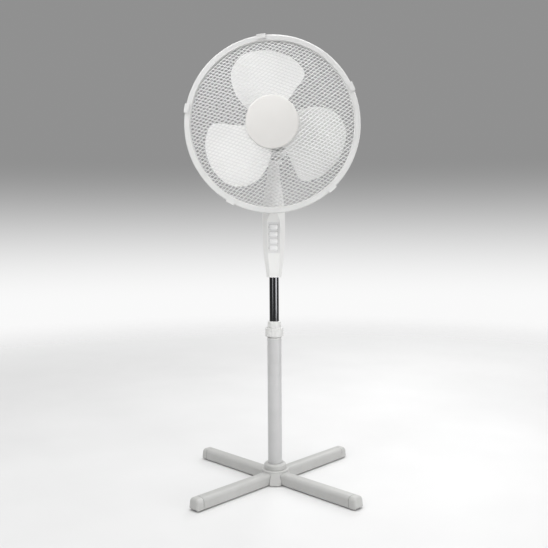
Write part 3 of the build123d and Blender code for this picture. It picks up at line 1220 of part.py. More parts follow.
def all_parts():
    """Every node by name."""
    front_shell, rear_shell = housing_shells()
    parts = {f"leg_{name}": Rot(0, 0, angle) * leg() for name, angle in leg_angles().items()}
    parts.update({name: button(z) for name, z in button_heights().items()})
    parts.update({
        "base_hub": base_hub(),
        "leg_end_caps": all_round(leg_end_cap()),
        "foot_pads": all_round(foot_pad()),
        "leg_screws": all_round(leg_screw()),
        "base_bolt": base_bolt(),
        "base_collar": base_collar(),
        "outer_tube": outer_tube(),
        "height_sleeve": height_sleeve(),
        "lock_nut": lock_nut(),
        "inner_tube": inner_tube(),
        "guide_bush": guide_bush(),
        "housing_front": front_shell,
        "housing_rear": rear_shell,
        "housing_screws": housing_screws(),
        "button_panel": button_panel(),
        "switch_block": switch_block(),
        "capacitor": capacitor(),
        "cord_gland": cord_gland(),
        "tilt_bolt": tilt_bolt(),
        "tilt_nut": tilt_nut(),
        "neck": neck(),
        "swivel_bush": swivel_bush(),
        "neck_screws": neck_screws(),
        "oscillation_link": link(),
        "crank": crank(),
        "gearbox_case": gearbox_case(),
        "gearbox_lid": gearbox_lid(),
        "swivel_post": swivel_post(),
        "worm_wheel": worm_wheel(),
        "clutch_pinion": clutch_pinion(),
        "clutch_spindle": clutch_spindle(),
        "oscillation_knob": oscillation_knob(),
        "motor_front_frame": motor_front_frame(),
        "motor_rear_frame": motor_rear_frame(),
        "motor_bearings": motor_bearings(),
        "stator_core": stator_core(),
        "stator_windings": stator_windings(),
        "rotor": rotor(),
        "motor_shaft": motor_shaft(),
        "motor_cover": motor_cover(),
        "cover_screws": cover_screws(),
        "front_guard": front_guard(),
        "rear_guard": rear_guard(),
        "guard_nut": guard_nut(),
        "guard_band": guard_band(),
        "guard_clips": guard_clips(),
        "centre_badge": centre_badge(),
        "fan_blade": fan_blade(),
        "drive_pin": drive_pin(),
        "blade_nut": blade_nut(),
    })
    return parts


def main():
    """Write one file for each node."""
    os.makedirs("parts", exist_ok=True)
    for name, shape in all_parts().items():
        export_step(shape, f"parts/{name}.step")


main()
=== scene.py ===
import json
import math

import bmesh
import bpy
from mathutils import Matrix, Vector


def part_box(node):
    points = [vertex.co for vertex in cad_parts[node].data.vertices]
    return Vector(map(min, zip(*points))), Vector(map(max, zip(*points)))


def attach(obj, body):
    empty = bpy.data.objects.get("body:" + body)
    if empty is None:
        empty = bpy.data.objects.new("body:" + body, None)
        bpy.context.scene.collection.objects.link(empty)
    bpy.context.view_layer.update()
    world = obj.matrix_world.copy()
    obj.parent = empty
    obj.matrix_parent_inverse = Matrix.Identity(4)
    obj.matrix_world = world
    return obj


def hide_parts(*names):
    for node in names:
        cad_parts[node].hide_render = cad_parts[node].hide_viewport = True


# Looks of a pedestal fan in metres: Z is up, the head faces -Y, the column stands on the origin.
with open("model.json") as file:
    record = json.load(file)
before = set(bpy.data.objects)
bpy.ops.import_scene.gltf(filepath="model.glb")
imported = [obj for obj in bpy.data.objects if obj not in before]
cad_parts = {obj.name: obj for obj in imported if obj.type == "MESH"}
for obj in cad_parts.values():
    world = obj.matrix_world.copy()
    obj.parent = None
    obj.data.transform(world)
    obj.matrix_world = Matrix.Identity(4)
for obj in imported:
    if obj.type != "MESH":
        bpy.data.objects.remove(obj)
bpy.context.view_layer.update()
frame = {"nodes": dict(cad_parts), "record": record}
nodes = frame["nodes"]

# Camera, fitted to the guard, the column and the leg tips
FRAME_PIXELS = 548
FOCAL_PIXELS = 731.8
SENSOR = 0.036
CAMERA_HEIGHT = 0.7205
CAMERA_DISTANCE = 1.9645
CAMERA_AZIMUTH = math.radians(0.7)
CAMERA_PITCH = math.radians(4.35)
CAMERA_ROLL = math.radians(-0.33)

# Guard mesh
STRAND_PITCH = 0.0078
FRONT_STRAND_WIDTH = 0.0019
REAR_STRAND_WIDTH = 0.0014
STRAND_DEPTH = 0.0015
STRAND_STEP = 0.009
STRAND_SIDES = 6
STRAND_ANGLES = (math.radians(41.5), math.radians(-19.5))
LAYER_DROP = 0.0006
BAND_LIP = 0.013
RIM_RAMP = 0.002
RIM_RAMP_THICKNESS = 0.0012
RIM_RAMP_GAP = 0.0002
RIM_WIRE = 0.006
RIM_SIDES = 10
RIM_STEPS = 160
PLATE_THICKNESS = 0.0015
PLATE_RADIUS = 0.056
PLATE_LAP = 0.004
PLATE_BORE = 0.01705
BADGE_THICKNESS = 0.005
BADGE_EDGE = 0.0025
BADGE_RINGS = 16
BADGE_EDGE_STEPS = 5

# Blade, its outline drawn for the upper lobe as X and height above the shaft, in millimetres
BLADE_OUTLINE = ((-30, 20), (-60, 38), (-87, 70), (-99, 110), (-90, 144), (-62, 171), (-10, 182),
                 (40, 170), (72, 144), (79, 122), (58, 90), (38, 62), (26, 24))
BLADE_COUNT = 3
BLADE_MIDDLE = (-0.006, 0.100)
BLADE_CAMBER_RADIUS = 0.420
BLADE_PITCH = math.radians(13)
BLADE_SET_BACK = 0.011
BLADE_HALF_THICKNESS = 0.0013
BLADE_RINGS = (0.15, 0.3, 0.45, 0.6, 0.72, 0.82, 0.9, 0.95, 0.98, 0.993, 1.0)
BLADE_EDGE_POWER = 14
CURVE_STEPS = 8
HUB_RADIUS = 0.040
HUB_WALL = 0.003
HUB_ROUNDING = 0.007
HUB_ROUNDING_STEPS = 6
HUB_STEPS = 64
BOSS_RADIUS = 0.011
PIN_CLEARANCE = 0.00005

# Buttons, from the top one down, and the number printed beside each
BUTTON_KEYS = ("high", "medium", "low", "off")
BUTTON_DOME = 0.0033
BUTTON_DOME_POWER = 2.6
BUTTON_RINGS = (0.2, 0.4, 0.55, 0.7, 0.8, 0.88, 0.94, 0.98, 1.0)
BUTTON_SQUARENESS = 9
BUTTON_STEPS = 96
BUTTON_STEM = 0.005
BUTTON_STEM_LENGTH = 0.009
NUMBER_HEIGHT = 0.0048
NUMBER_SHIFT = -0.0130
NUMBER_RELIEF = 0.00005

MILLIMETRE = 0.001

# Places read from the frame
band_low, band_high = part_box("guard_band")
AXIS_Z = (band_low.z + band_high.z) / 2
front_low, front_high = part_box("front_guard")
rear_low, rear_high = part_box("rear_guard")
RIM_RADIUS = (front_high.x - front_low.x) / 2 - RIM_WIRE / 2
MESH_RADIUS = RIM_RADIUS - RIM_WIRE / 2
FRONT_RIM_Y = front_high.y - RIM_WIRE / 2
REAR_RIM_Y = rear_low.y + RIM_WIRE / 2
FRONT_DEPTH = FRONT_RIM_Y - front_low.y
PLATE_Y = rear_high.y - PLATE_THICKNESS
REAR_DEPTH = PLATE_Y - REAR_RIM_Y
LIP_RADIUS = (band_high.x - band_low.x) / 2 - BAND_LIP
HUB_FRONT_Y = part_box("blade_nut")[1].y
HUB_BACK_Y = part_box("drive_pin")[1].y + PIN_CLEARANCE
BLADE_Y = (HUB_FRONT_Y + HUB_BACK_Y) / 2


# Materials

NOISE_LOW = 0.3
NOISE_HIGH = 0.7

# Looks by name: the two tints and the two roughness values between which each wanders,
# then a plastic's own grain and its depth, or the stretch of a metal's lines
PLASTICS = {
    "base_plastic": ((0.42, 0.42, 0.41), (0.45, 0.45, 0.44), 0.38, 0.48),
    "white_plastic": ((0.70, 0.70, 0.69), (0.73, 0.73, 0.72), 0.31, 0.40),
    # The panel's own grey, kept darker than the housing partly as painted shade round the buttons
    "panel_plastic": ((0.62, 0.62, 0.62), (0.65, 0.65, 0.65), 0.5, 0.6, 1400, 0.00006),
    "button_plastic": ((0.72, 0.72, 0.72), (0.75, 0.75, 0.75), 0.31, 0.4),
    "guard_plastic": ((0.69, 0.69, 0.685), (0.72, 0.72, 0.715), 0.45, 0.55),
    # The rear guard is the front guard's white plastic darkened: painted shade for the mesh lying behind the
    # front one
    "rear_guard_plastic": ((0.51, 0.51, 0.51), (0.55, 0.55, 0.55), 0.4, 0.5),
    "badge_plastic": ((0.57, 0.56, 0.545), (0.60, 0.59, 0.575), 0.31, 0.39),
    "blade_plastic": ((0.82, 0.82, 0.81), (0.85, 0.85, 0.84), 0.31, 0.4),
    "nylon": ((0.66, 0.63, 0.55), (0.72, 0.70, 0.63), 0.45, 0.55),
    "dark_plastic": ((0.012, 0.012, 0.013), (0.02, 0.02, 0.022), 0.45, 0.6),
    # The guard band and clips are the guard's plastic darkened: painted shade
    "band_painted_shade": ((0.55, 0.55, 0.545), (0.58, 0.58, 0.575), 0.31, 0.42),
    # The lock nut and height sleeve are the housing's white plastic darkened: painted shade
    "nut_sleeve_painted_shade": ((0.57, 0.57, 0.56), (0.60, 0.60, 0.59), 0.31, 0.4),
    "printed_ink": ((0.20, 0.20, 0.20), (0.26, 0.26, 0.26), 0.5, 0.6),
}
PAINTS = {
    "leg_paint": ((0.40, 0.40, 0.39), (0.43, 0.43, 0.42), 0.42, 0.52),
    "column_paint": ((0.44, 0.44, 0.44), (0.48, 0.48, 0.48), 0.36, 0.46),
}
METALS = {
    # The chrome's colour is near black: painted reflection of a dark surround; its streaks come from the
    # lights
    "tube_chrome": ((0.064, 0.064, 0.067), (0.088, 0.088, 0.093), 0.13, 0.17, (1.0, 1.0, 0.01)),
    "steel": ((0.42, 0.42, 0.43), (0.56, 0.56, 0.57), 0.25, 0.4, (1.0, 0.05, 1.0)),
}
NODE_LOOKS = {
    # Painted shade: the nut and sleeve in a darker copy of the white plastic
    "lock_nut": "nut_sleeve_painted_shade",
    "height_sleeve": "nut_sleeve_painted_shade",
    # Painted shade: the band and clips in a darker copy of the guard plastic
    "guard_band": "band_painted_shade",
    "guard_clips": "band_painted_shade",
}


def shader(name):
    """New material with its node tree, its main shader and a set of object coordinates."""
    material = bpy.data.materials.new(name)
    material.use_nodes = True
    tree = material.node_tree
    main = tree.nodes["Principled BSDF"]
    place = tree.nodes.new("ShaderNodeTexCoord")
    return material, tree, main, place.outputs["Object"]


def stretched(tree, coordinates, scale):
    """Coordinates scaled differently along each axis."""
    mapping = tree.nodes.new("ShaderNodeMapping")
    mapping.inputs["Scale"].default_value = scale
    tree.links.new(coordinates, mapping.inputs["Vector"])
    return mapping.outputs["Vector"]


def noise(tree, coordinates, grains, detail):
    """Soft noise at a number of grains per metre."""
    texture = tree.nodes.new("ShaderNodeTexNoise")
    texture.inputs["Scale"].default_value = grains
    texture.inputs["Detail"].default_value = detail
    tree.links.new(coordinates, texture.inputs["Vector"])
    return texture.outputs["Fac"]


def tinted(tree, main, factor, dark, light):
    """Base colour that wanders between two tints."""
    ramp = tree.nodes.new("ShaderNodeValToRGB")
    ramp.color_ramp.elements[0].position = NOISE_LOW
    ramp.color_ramp.elements[1].position = NOISE_HIGH
    ramp.color_ramp.elements[0].color = (*dark, 1)
    ramp.color_ramp.elements[1].color = (*light, 1)
    tree.links.new(factor, ramp.inputs["Fac"])
    tree.links.new(ramp.outputs["Color"], main.inputs["Base Color"])


def roughened(tree, main, factor, low, high):
    """Roughness that wanders between two values."""
    span = tree.nodes.new("ShaderNodeMapRange")
    span.inputs["From Min"].default_value = NOISE_LOW
    span.inputs["From Max"].default_value = NOISE_HIGH
    span.inputs["To Min"].default_value = low
    span.inputs["To Max"].default_value = high
    tree.links.new(factor, span.inputs["Value"])
    tree.links.new(span.outputs["Result"], main.inputs["Roughness"])


def bumped(tree, main, factor, strength, distance):
    """Surface grain from a height."""
    bump = tree.nodes.new("ShaderNodeBump")
    bump.inputs["Strength"].default_value = strength
    bump.inputs["Distance"].default_value = distance
    tree.links.new(factor, bump.inputs["Height"])
    tree.links.new(bump.outputs["Normal"], main.inputs["Normal"])


def moulded_plastic(name, dark, light, smooth, rough, grain=900, depth=0.00003):
    """Moulded plastic: slow tint drift, fine grain and a wandering gloss."""
    material, tree, main, place = shader(name)
    tinted(tree, main, noise(tree, place, grains=14, detail=2), dark, light)
    roughened(tree, main, noise(tree, place, grains=60, detail=4), smooth, rough)
    bumped(tree, main, noise(tree, place, grains=grain, detail=2), strength=0.25, distance=depth)
    main.inputs["Specular IOR Level"].default_value = 0.45
    return material


def sprayed_paint(name, dark, light, smooth, rough):
    """Stoved paint on steel: orange-peel ripple under a thin coat."""
    material, tree, main, place = shader(name)
    tinted(tree, main, noise(tree, place, grains=22, detail=3), dark, light)
    roughened(tree, main, noise(tree, place, grains=90, detail=3), smooth, rough)
    bumped(tree, main, noise(tree, place, grains=420, detail=2), strength=0.12, distance=0.00004)
    main.inputs["Coat Weight"].default_value = 0.12
    main.inputs["Coat Roughness"].default_value = 0.25
    return material


def drawn_metal(name, dark, light, smooth, rough, stretch):
    """Bare metal with fine lines along one axis."""
    material, tree, main, place = shader(name)
    lines = noise(tree, stretched(tree, place, stretch), grains=300, detail=3)
    tinted(tree, main, lines, dark, light)
    roughened(tree, main, lines, smooth, rough)
    bumped(tree, main, lines, strength=0.12, distance=0.00002)
    main.inputs["Metallic"].default_value = 1.0
    return material


def cast_metal(name):
    """Sand-cast light alloy."""
    material, tree, main, place = shader(name)
    drift = noise(tree, place, grains=160, detail=5)
    tinted(tree, main, drift, dark=(0.42, 0.42, 0.43), light=(0.58, 0.58, 0.59))
    roughened(tree, main, noise(tree, place, grains=500, detail=3), low=0.4, high=0.6)
    bumped(tree, main, noise(tree, place, grains=700, detail=4), strength=0.6, distance=0.00015)
    main.inputs["Metallic"].default_value = 1.0
    return material


def wound_wire(name):
    """Lacquered wire: fine rings round the winding."""
    material, tree, main, place = shader(name)
    wave = tree.nodes.new("ShaderNodeTexWave")
    wave.wave_type = "RINGS"
    wave.rings_direction = "Y"
    wave.inputs["Scale"].default_value = 260
    wave.inputs["Distortion"].default_value = 1.5
    tree.links.new(place, wave.inputs["Vector"])
    tinted(tree, main, wave.outputs["Fac"], dark=(0.30, 0.10, 0.03), light=(0.66, 0.30, 0.12))
    bumped(tree, main, wave.outputs["Fac"], strength=0.7, distance=0.0003)
    main.inputs["Metallic"].default_value = 0.8
    main.inputs["Roughness"].default_value = 0.35
    return material


def matt_rubber(name):
    """Dull black rubber with a fine tooth."""
    material, tree, main, place = shader(name)
    drift = noise(tree, place, grains=120, detail=3)
    tinted(tree, main, drift, dark=(0.012, 0.012, 0.012), light=(0.03, 0.03, 0.03))
    roughened(tree, main, noise(tree, place, grains=300, detail=3), low=0.65, high=0.85)
    bumped(tree, main, noise(tree, place, grains=1200, detail=2), strength=0.5, distance=0.0001)
    return material


def make_materials():
    """One material for each slot of the record, and the looks of single nodes and pieces."""
    made = {}
    for maker, looks in ((moulded_plastic, PLASTICS), (sprayed_paint, PAINTS), (drawn_metal, METALS)):
        for name, look in looks.items():
            made[name] = maker(name, *look)
    for maker, name in ((cast_metal, "cast_metal"), (wound_wire, "copper_wire"), (matt_rubber, "rubber")):
        made[name] = maker(name)
    return made


materials = make_materials()


def paint_nodes():
    """Give every node of the frame the material of its slot, or the look of its own."""
    for entry in frame["record"]["subparts"]:
        mesh = nodes[entry["node"]].data
        mesh.materials.clear()
        mesh.materials.append(materials[NODE_LOOKS.get(entry["node"], entry["material_slot"])])


# Mesh helpers

SHARP_EDGE = math.radians(50)
WELD = 0.000001


def make_piece(name, points, faces, body, slot, replaced=(), look=None):
    """Mesh object that rides on a body, in its slot's material or in a look of its own."""
    mesh = bpy.data.meshes.new(name)
    mesh.from_pydata([tuple(point) for point in points], [], faces)
    weld(mesh)
    for face in mesh.polygons:
        face.use_smooth = True
    mesh.set_sharp_from_angle(angle=SHARP_EDGE)
    mesh.materials.append(materials[look or slot])
    piece = bpy.data.objects.new(name, mesh)
    bpy.context.scene.collection.objects.link(piece)
    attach(piece, body)
    if replaced:
        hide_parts(*replaced)


def weld(mesh):
    """Join points that coincide, as at the pole of a dome."""
    work = bmesh.new()
    work.from_mesh(mesh)
    bmesh.ops.remove_doubles(work, verts=work.verts, dist=WELD)
    work.to_mesh(mesh)
    work.free()


def add_mesh(target, points, faces):
    """Append points and faces to a pair of lists."""
    start = len(target[0])
    target[0].extend(points)
    target[1].extend([tuple(start + index for index in face) for face in faces])


def sweep(path, normals, half_width, half_depth, sides):
    """Tube of elliptical section along a path, flattened along the given normals."""
    points = []
    faces = []
    count = len(path)
    for index, (point, normal) in enumerate(zip(path, normals)):
        after = path[min(index + 1, count - 1)]
        before = path[max(index - 1, 0)]
        across = (after - before).cross(normal).normalized()
        for side in range(sides):
            turn = 2 * math.pi * side / sides
            offset = across * (half_width * math.cos(turn)) + normal * (half_depth * math.sin(turn))
            points.append(point + offset)
    for index in range(count - 1):
        near = index * sides
        far = near + sides
        for side in range(sides):
            beside = (side + 1) % sides
            faces.append((near + side, near + beside, far + beside, far + side))
    faces.append(tuple(reversed(range(sides))))
    faces.append(tuple(range((count - 1) * sides, count * sides)))
    return points, faces


def revolve_y(profile, steps, closed=True):
    """Surface of revolution round the shaft from points of radius and Y."""
    points = []
    faces = []
    rows = len(profile)
    for step in range(steps):
        turn = 2 * math.pi * step / steps
        for radius, y in profile:
            points.append(Vector((radius * math.cos(turn), y, AXIS_Z + radius * math.sin(turn))))
    last = rows if closed else rows - 1
    for step in range(steps):
        here = step * rows
        there = (step + 1) % steps * rows
        for row in range(last):
            below = (row + 1) % rows
            faces.append((here + row, here + below, there + below, there + row))
    return points, faces


# Guards

def dish(depth, lap):
    """Radius and centre drop of the sphere from the rim to a lap circle at a depth."""
    drop = (MESH_RADIUS**2 - lap**2 - depth**2) / (2 * depth)
    return math.hypot(MESH_RADIUS, drop), drop


def strand_spans(offset, lap):
    """Stretches of one strand, from rim to rim or from the rim to the plate."""
    end = math.sqrt(MESH_RADIUS**2 - offset**2)
    if offset**2 >= lap**2:
        return [(-end, end)]
    start = math.sqrt(lap**2 - offset**2)
    return [(-end, -start), (start, end)]


def guard_mesh(depth, lap, width, place):
    """Two crossing families of strands on a dish; place puts a point of the dish in the frame."""
    radius, drop = dish(depth, lap)
    target = ([], [])
    lines = int(MESH_RADIUS / STRAND_PITCH)
    for layer, angle in enumerate(STRAND_ANGLES):
        shell = radius - STRAND_DEPTH / 2 - layer * LAYER_DROP
        along = Vector((math.cos(angle), math.sin(angle), 0))
        aside = Vector((-math.sin(angle), math.cos(angle), 0))
        for line in range(-lines, lines + 1):
            offset = line * STRAND_PITCH
            for begin, end in strand_spans(offset, lap):
                steps = max(2, round((end - begin) / STRAND_STEP))
                path = []
                normals = []
                for step in range(steps + 1):
                    reach = begin + (end - begin) * step / steps
                    flat = aside * offset + along * reach
                    height = math.sqrt(max(shell**2 - flat.length_squared, 0))
                    path.append(place(flat.x, flat.y, height - drop))
                    outward = place(flat.x, flat.y, height) - place(0, 0, 0)
                    normals.append(outward.normalized())
                add_mesh(target, *sweep(path, normals, width / 2, STRAND_DEPTH / 2, STRAND_SIDES))
    return target


def rim_wire(y):
    """Closed ring of round wire at one place along the shaft."""
    profile = []
    for side in range(RIM_SIDES):
        turn = 2 * math.pi * side / RIM_SIDES
        profile.append((RIM_RADIUS + RIM_WIRE / 2 * math.cos(turn), y + RIM_WIRE / 2 * math.sin(turn)))
    return revolve_y(profile, RIM_STEPS)


def rim_ramp(depth, lap, place, lip_y):
    """Moulded ring that climbs from the dish of the strands to the face of the band's lip."""
    radius, drop = dish(depth, lap)
    inward = math.copysign(1, place(0, 0, 0).y - lip_y)
    outer = LIP_RADIUS - RIM_RAMP_GAP
    inner = outer - RIM_RAMP
    inner_y = place(0, 0, math.sqrt(radius**2 - inner**2) - drop).y
    outer_y = place(0, 0, math.sqrt(radius**2 - outer**2) - drop).y
    back = inward * RIM_RAMP_THICKNESS
    profile = [(inner, inner_y), (outer, lip_y + inward * RIM_RAMP_GAP), (outer, outer_y + back),
               (inner, inner_y + back)]
    return revolve_y(profile, RIM_STEPS)


def front_place(x, up, height):
    """Point of the front dish in the frame."""
    return Vector((x, FRONT_RIM_Y - height, AXIS_Z + up))


def rear_place(x, up, height):
    """Point of the rear dish in the frame, the same moulding turned to face back."""
    return Vector((x, REAR_RIM_Y + height, AXIS_Z - up))


def make_front_guard():
    """Domed diamond mesh with its rim."""
    target = guard_mesh(FRONT_DEPTH, 0, FRONT_STRAND_WIDTH, front_place)
    add_mesh(target, *rim_wire(FRONT_RIM_Y))
    add_mesh(target, *rim_ramp(FRONT_DEPTH, 0, front_place, band_low.y))
    make_piece("front_mesh", *target, "head", "guard_plastic", ["front_guard"])


def make_rear_guard():
    """Dished diamond mesh with its rim and the plate that seats on the motor."""
    lap = PLATE_RADIUS - PLATE_LAP
    target = guard_mesh(REAR_DEPTH, lap, REAR_STRAND_WIDTH, rear_place)
    add_mesh(target, *rim_wire(REAR_RIM_Y))
    add_mesh(target, *rim_ramp(REAR_DEPTH, lap, rear_place, band_high.y))
    plate = ((PLATE_BORE, PLATE_Y), (PLATE_RADIUS, PLATE_Y), (PLATE_RADIUS, rear_high.y),
             (PLATE_BORE, rear_high.y))
    add_mesh(target, *revolve_y(plate, HUB_STEPS))
    # The rear mesh wears the darkened guard plastic: painted shade
    make_piece("rear_mesh", *target, "head", "guard_plastic", ["rear_guard"], "rear_guard_plastic")


def make_badge():
    """Plain domed disc with a rounded edge on the middle of the front guard."""
    low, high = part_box("centre_badge")
    reach = (high.x - low.x) / 2
    curve = dish(FRONT_DEPTH, 0)[0] + BADGE_THICKNESS
    apex = low.y
    flat = reach - BADGE_EDGE
    profile = []
    for step in range(BADGE_RINGS + 1):
        radius = flat * step / BADGE_RINGS
        profile.append((radius, apex + curve - math.sqrt(curve**2 - radius**2)))
    edge_y = profile[-1][1]
    for step in range(1, BADGE_EDGE_STEPS + 1):
        turn = math.pi / 2 * step / BADGE_EDGE_STEPS
        profile.append((flat + BADGE_EDGE * math.sin(turn), edge_y + BADGE_EDGE * (1 - math.cos(turn))))
    profile += [(reach, high.y), (0.0, high.y)]
    disc = revolve_y(profile, RIM_STEPS, closed=False)
    make_piece("badge", *disc, "head", "badge_plastic", ["centre_badge"])


# Blade

def smooth_outline(corners):
    """Open smooth curve through the outline's points, closed by its straight root."""
    points = [Vector((x * MILLIMETRE, z * MILLIMETRE)) for x, z in corners]
    padded = [2 * points[0] - points[1]] + points + [2 * points[-1] - points[-2]]
    curve = []
    for a, b, c, d in zip(padded, padded[1:], padded[2:], padded[3:]):
        for step in range(CURVE_STEPS):
            t = step / CURVE_STEPS
            curve.append(0.5 * (2 * b + (c - a) * t + (2 * a - 5 * b + 4 * c - d) * t**2
                                + (3 * b - a - 3 * c + d) * t**3))
    curve.append(points[-1])
    return curve


def sheet_y(x):
    """How far behind the hub's middle the pitched and cambered sheet lies."""
    middle_x = BLADE_CAMBER_RADIUS * math.sin(BLADE_PITCH)
    middle_y = BLADE_SET_BACK - BLADE_CAMBER_RADIUS * math.cos(BLADE_PITCH)
    return middle_y + math.sqrt(BLADE_CAMBER_RADIUS**2 - (x - middle_x) ** 2)


def lobe():
    """Upper lobe: front and back skins that meet in a rounded edge."""
    outline = smooth_outline(BLADE_OUTLINE)
    middle = Vector(BLADE_MIDDLE)
    count = len(outline)
    points = []
    faces = []
    for face_side in (-1, 1):
        start = len(points)
        points.append(Vector((middle.x, sheet_y(middle.x) + face_side * BLADE_HALF_THICKNESS, middle.y)))
        for share in BLADE_RINGS:
            thickness = BLADE_HALF_THICKNESS * math.sqrt(1 - share**BLADE_EDGE_POWER)
            for corner in outline:
                flat = middle + (corner - middle) * share
                points.append(Vector((flat.x, sheet_y(flat.x) + face_side * thickness, flat.y)))
        for index in range(count):
            beside = (index + 1) % count
            triangle = (start, start + 1 + index, start + 1 + beside)
            faces.append(triangle if face_side < 0 else triangle[::-1])
            for ring in range(len(BLADE_RINGS) - 1):
                near = start + 1 + ring * count
                far = near + count
                square = (near + index, far + index, far + beside, near + beside)
                faces.append(square if face_side < 0 else square[::-1])
    return points, faces


def hub_profile():
    """Cup-shaped hub with a rounded front edge, as points of radius and Y."""
    profile = [(0.0, HUB_FRONT_Y)]
    for step in range(HUB_ROUNDING_STEPS + 1):
        turn = math.pi / 2 * step / HUB_ROUNDING_STEPS
        profile.append((HUB_RADIUS - HUB_ROUNDING * (1 - math.sin(turn)),
                        HUB_FRONT_Y + HUB_ROUNDING * (1 - math.cos(turn))))
    inner = HUB_RADIUS - HUB_WALL
    profile += [(HUB_RADIUS, HUB_BACK_Y), (inner, HUB_BACK_Y), (inner, HUB_FRONT_Y + HUB_WALL),
                (BOSS_RADIUS, HUB_FRONT_Y + HUB_WALL), (BOSS_RADIUS, HUB_BACK_Y), (0.0, HUB_BACK_Y)]
    return profile


def make_blade():
    """Three lobes on the hub."""
    points, faces = lobe()
    target = ([], [])
    for index in range(BLADE_COUNT):
        turn = Matrix.Rotation(2 * math.pi * index / BLADE_COUNT, 4, "Y")
        place = Matrix.Translation((0, BLADE_Y, AXIS_Z)) @ turn
        add_mesh(target, [place @ point for point in points], faces)
    add_mesh(target, *revolve_y(hub_profile(), HUB_STEPS, closed=False))
    make_piece("blade", *target, "blade_set", "blade_plastic", ["fan_blade"])


# Buttons

def soft_ring(half, tall, share, y, centre):
    """Rounded rectangle of a button at one depth."""
    ring = []
    for step in range(BUTTON_STEPS):
        turn = 2 * math.pi * step / BUTTON_STEPS
        wide = math.copysign(abs(math.cos(turn)) ** (2 / BUTTON_SQUARENESS), math.cos(turn))
        high = math.copysign(abs(math.sin(turn)) ** (2 / BUTTON_SQUARENESS), math.sin(turn))
        ring.append(Vector((centre.x + half * share * wide, y, centre.z + tall * share * high)))
    return ring


def make_button(key):
    """Cushion-shaped cap on its square stem."""
    node = "button_" + key
    low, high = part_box(node)
    centre = (low + high) / 2
    half = (high.x - low.x) / 2
    tall = (high.z - low.z) / 2
    back = high.y - BUTTON_STEM_LENGTH
    levels = [(share, low.y + BUTTON_DOME * share**BUTTON_DOME_POWER) for share in BUTTON_RINGS]
    levels += [(1.0, back), (BUTTON_STEM / 2 / half, back), (BUTTON_STEM / 2 / half, high.y)]
    points = [Vector((centre.x, low.y, centre.z))]
    for share, y in levels:
        points += soft_ring(half, tall, share, y, centre)
    faces = []
    for step in range(BUTTON_STEPS):
        beside = (step + 1) % BUTTON_STEPS
        faces.append((0, 1 + step, 1 + beside))
        for level in range(len(levels) - 1):
            near = 1 + level * BUTTON_STEPS
            far = near + BUTTON_STEPS
            faces.append((near + step, far + step, far + beside, near + beside))
    faces.append(tuple(range(len(points) - BUTTON_STEPS, len(points))))
    make_piece("cap_" + key, points, faces, "press_" + key, "button_plastic", [node])


def make_number(key, number):
    """Small printed number on the panel beside a button."""
    low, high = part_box("button_" + key)
    letters = bpy.data.curves.new("number_" + key, "FONT")
    letters.body = str(number)
    letters.size = NUMBER_HEIGHT
    letters.extrude = NUMBER_RELIEF
    letters.align_x = "CENTER"
    letters.align_y = "CENTER"
    letters.materials.append(materials["printed_ink"])
    piece = bpy.data.objects.new("number_" + key, letters)
    piece.location = (NUMBER_SHIFT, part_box("button_panel")[0].y, (low.z + high.z) / 2)
    piece.rotation_euler = (math.pi / 2, 0, 0)
    bpy.context.scene.collection.objects.link(piece)
    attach(piece, "riser")


def make_buttons():
    """Every button and its number, counted up from the one that switches off."""
    for index, key in enumerate(BUTTON_KEYS):
        make_button(key)
        make_number(key, len(BUTTON_KEYS) - 1 - index)


# Stage

FLOOR_RADIUS = 4.0
FLOOR_SOLID = 1.0
FLOOR_GONE = 3.6
FLOOR_STEPS = 96
FLOOR_ROUGHNESS = 0.7
BACKDROP_FOOT = -0.11
BACKDROP_HEAD = 0.08
BACKDROP_PALE = 0.95
BACKDROP_GREY = 0.28
FILL_FOOT = -0.2
FILL_HEAD = 0.6
FILL_LOW = 0.22
FILL_HIGH = 0.55


def make_floor():
    """Pale floor that fades into the backdrop."""
    turns = [2 * math.pi * step / FLOOR_STEPS for step in range(FLOOR_STEPS)]
    ring = [(FLOOR_RADIUS * math.cos(turn), FLOOR_RADIUS * math.sin(turn), 0) for turn in turns]
    mesh = bpy.data.meshes.new("floor")
    mesh.from_pydata(ring, [], [tuple(range(FLOOR_STEPS))])
    material, tree, main, place = shader("floor")
    drift = noise(tree, place, grains=3, detail=2)
    tinted(tree, main, drift, dark=(0.66, 0.66, 0.66), light=(0.69, 0.69, 0.69))
    main.inputs["Roughness"].default_value = FLOOR_ROUGHNESS
    length = tree.nodes.new("ShaderNodeVectorMath")
    length.operation = "LENGTH"
    tree.links.new(place, length.inputs[0])
    fade = tree.nodes.new("ShaderNodeMapRange")
    fade.interpolation_type = "SMOOTHSTEP"
    fade.inputs["From Min"].default_value = FLOOR_SOLID
    fade.inputs["From Max"].default_value = FLOOR_GONE
    fade.inputs["To Min"].default_value = 1.0
    fade.inputs["To Max"].default_value = 0.0
    tree.links.new(length.outputs["Value"], fade.inputs["Value"])
    tree.links.new(fade.outputs["Result"], main.inputs["Alpha"])
    mesh.materials.append(material)
    floor = bpy.data.objects.new("floor", mesh)
    bpy.context.scene.collection.objects.link(floor)


def make_light(name, place, target, size, power, spread=180):
    """Soft rectangular light aimed at a point, its beam narrowed to a spread in degrees."""
    lamp = bpy.data.lights.new(name, "AREA")
    lamp.shape = "RECTANGLE"
    lamp.size = size[0]
    lamp.size_y = size[1]
    lamp.energy = power
    lamp.spread = math.radians(spread)
    holder = bpy.data.objects.new(name, lamp)
    holder.location = place
    holder.rotation_euler = (Vector(target) - Vector(place)).to_track_quat("-Z", "Y").to_euler()
    bpy.context.scene.collection.objects.link(holder)


def slope(tree, height, foot, head, low, high):
    """Smooth step in brightness between two heights of the sky."""
    ramp = tree.nodes.new("ShaderNodeMapRange")
    ramp.interpolation_type = "SMOOTHSTEP"
    ramp.inputs["From Min"].default_value = foot
    ramp.inputs["From Max"].default_value = head
    ramp.inputs["To Min"].default_value = low
    ramp.inputs["To Max"].default_value = high
    tree.links.new(height, ramp.inputs["Value"])
    return ramp.outputs["Result"]


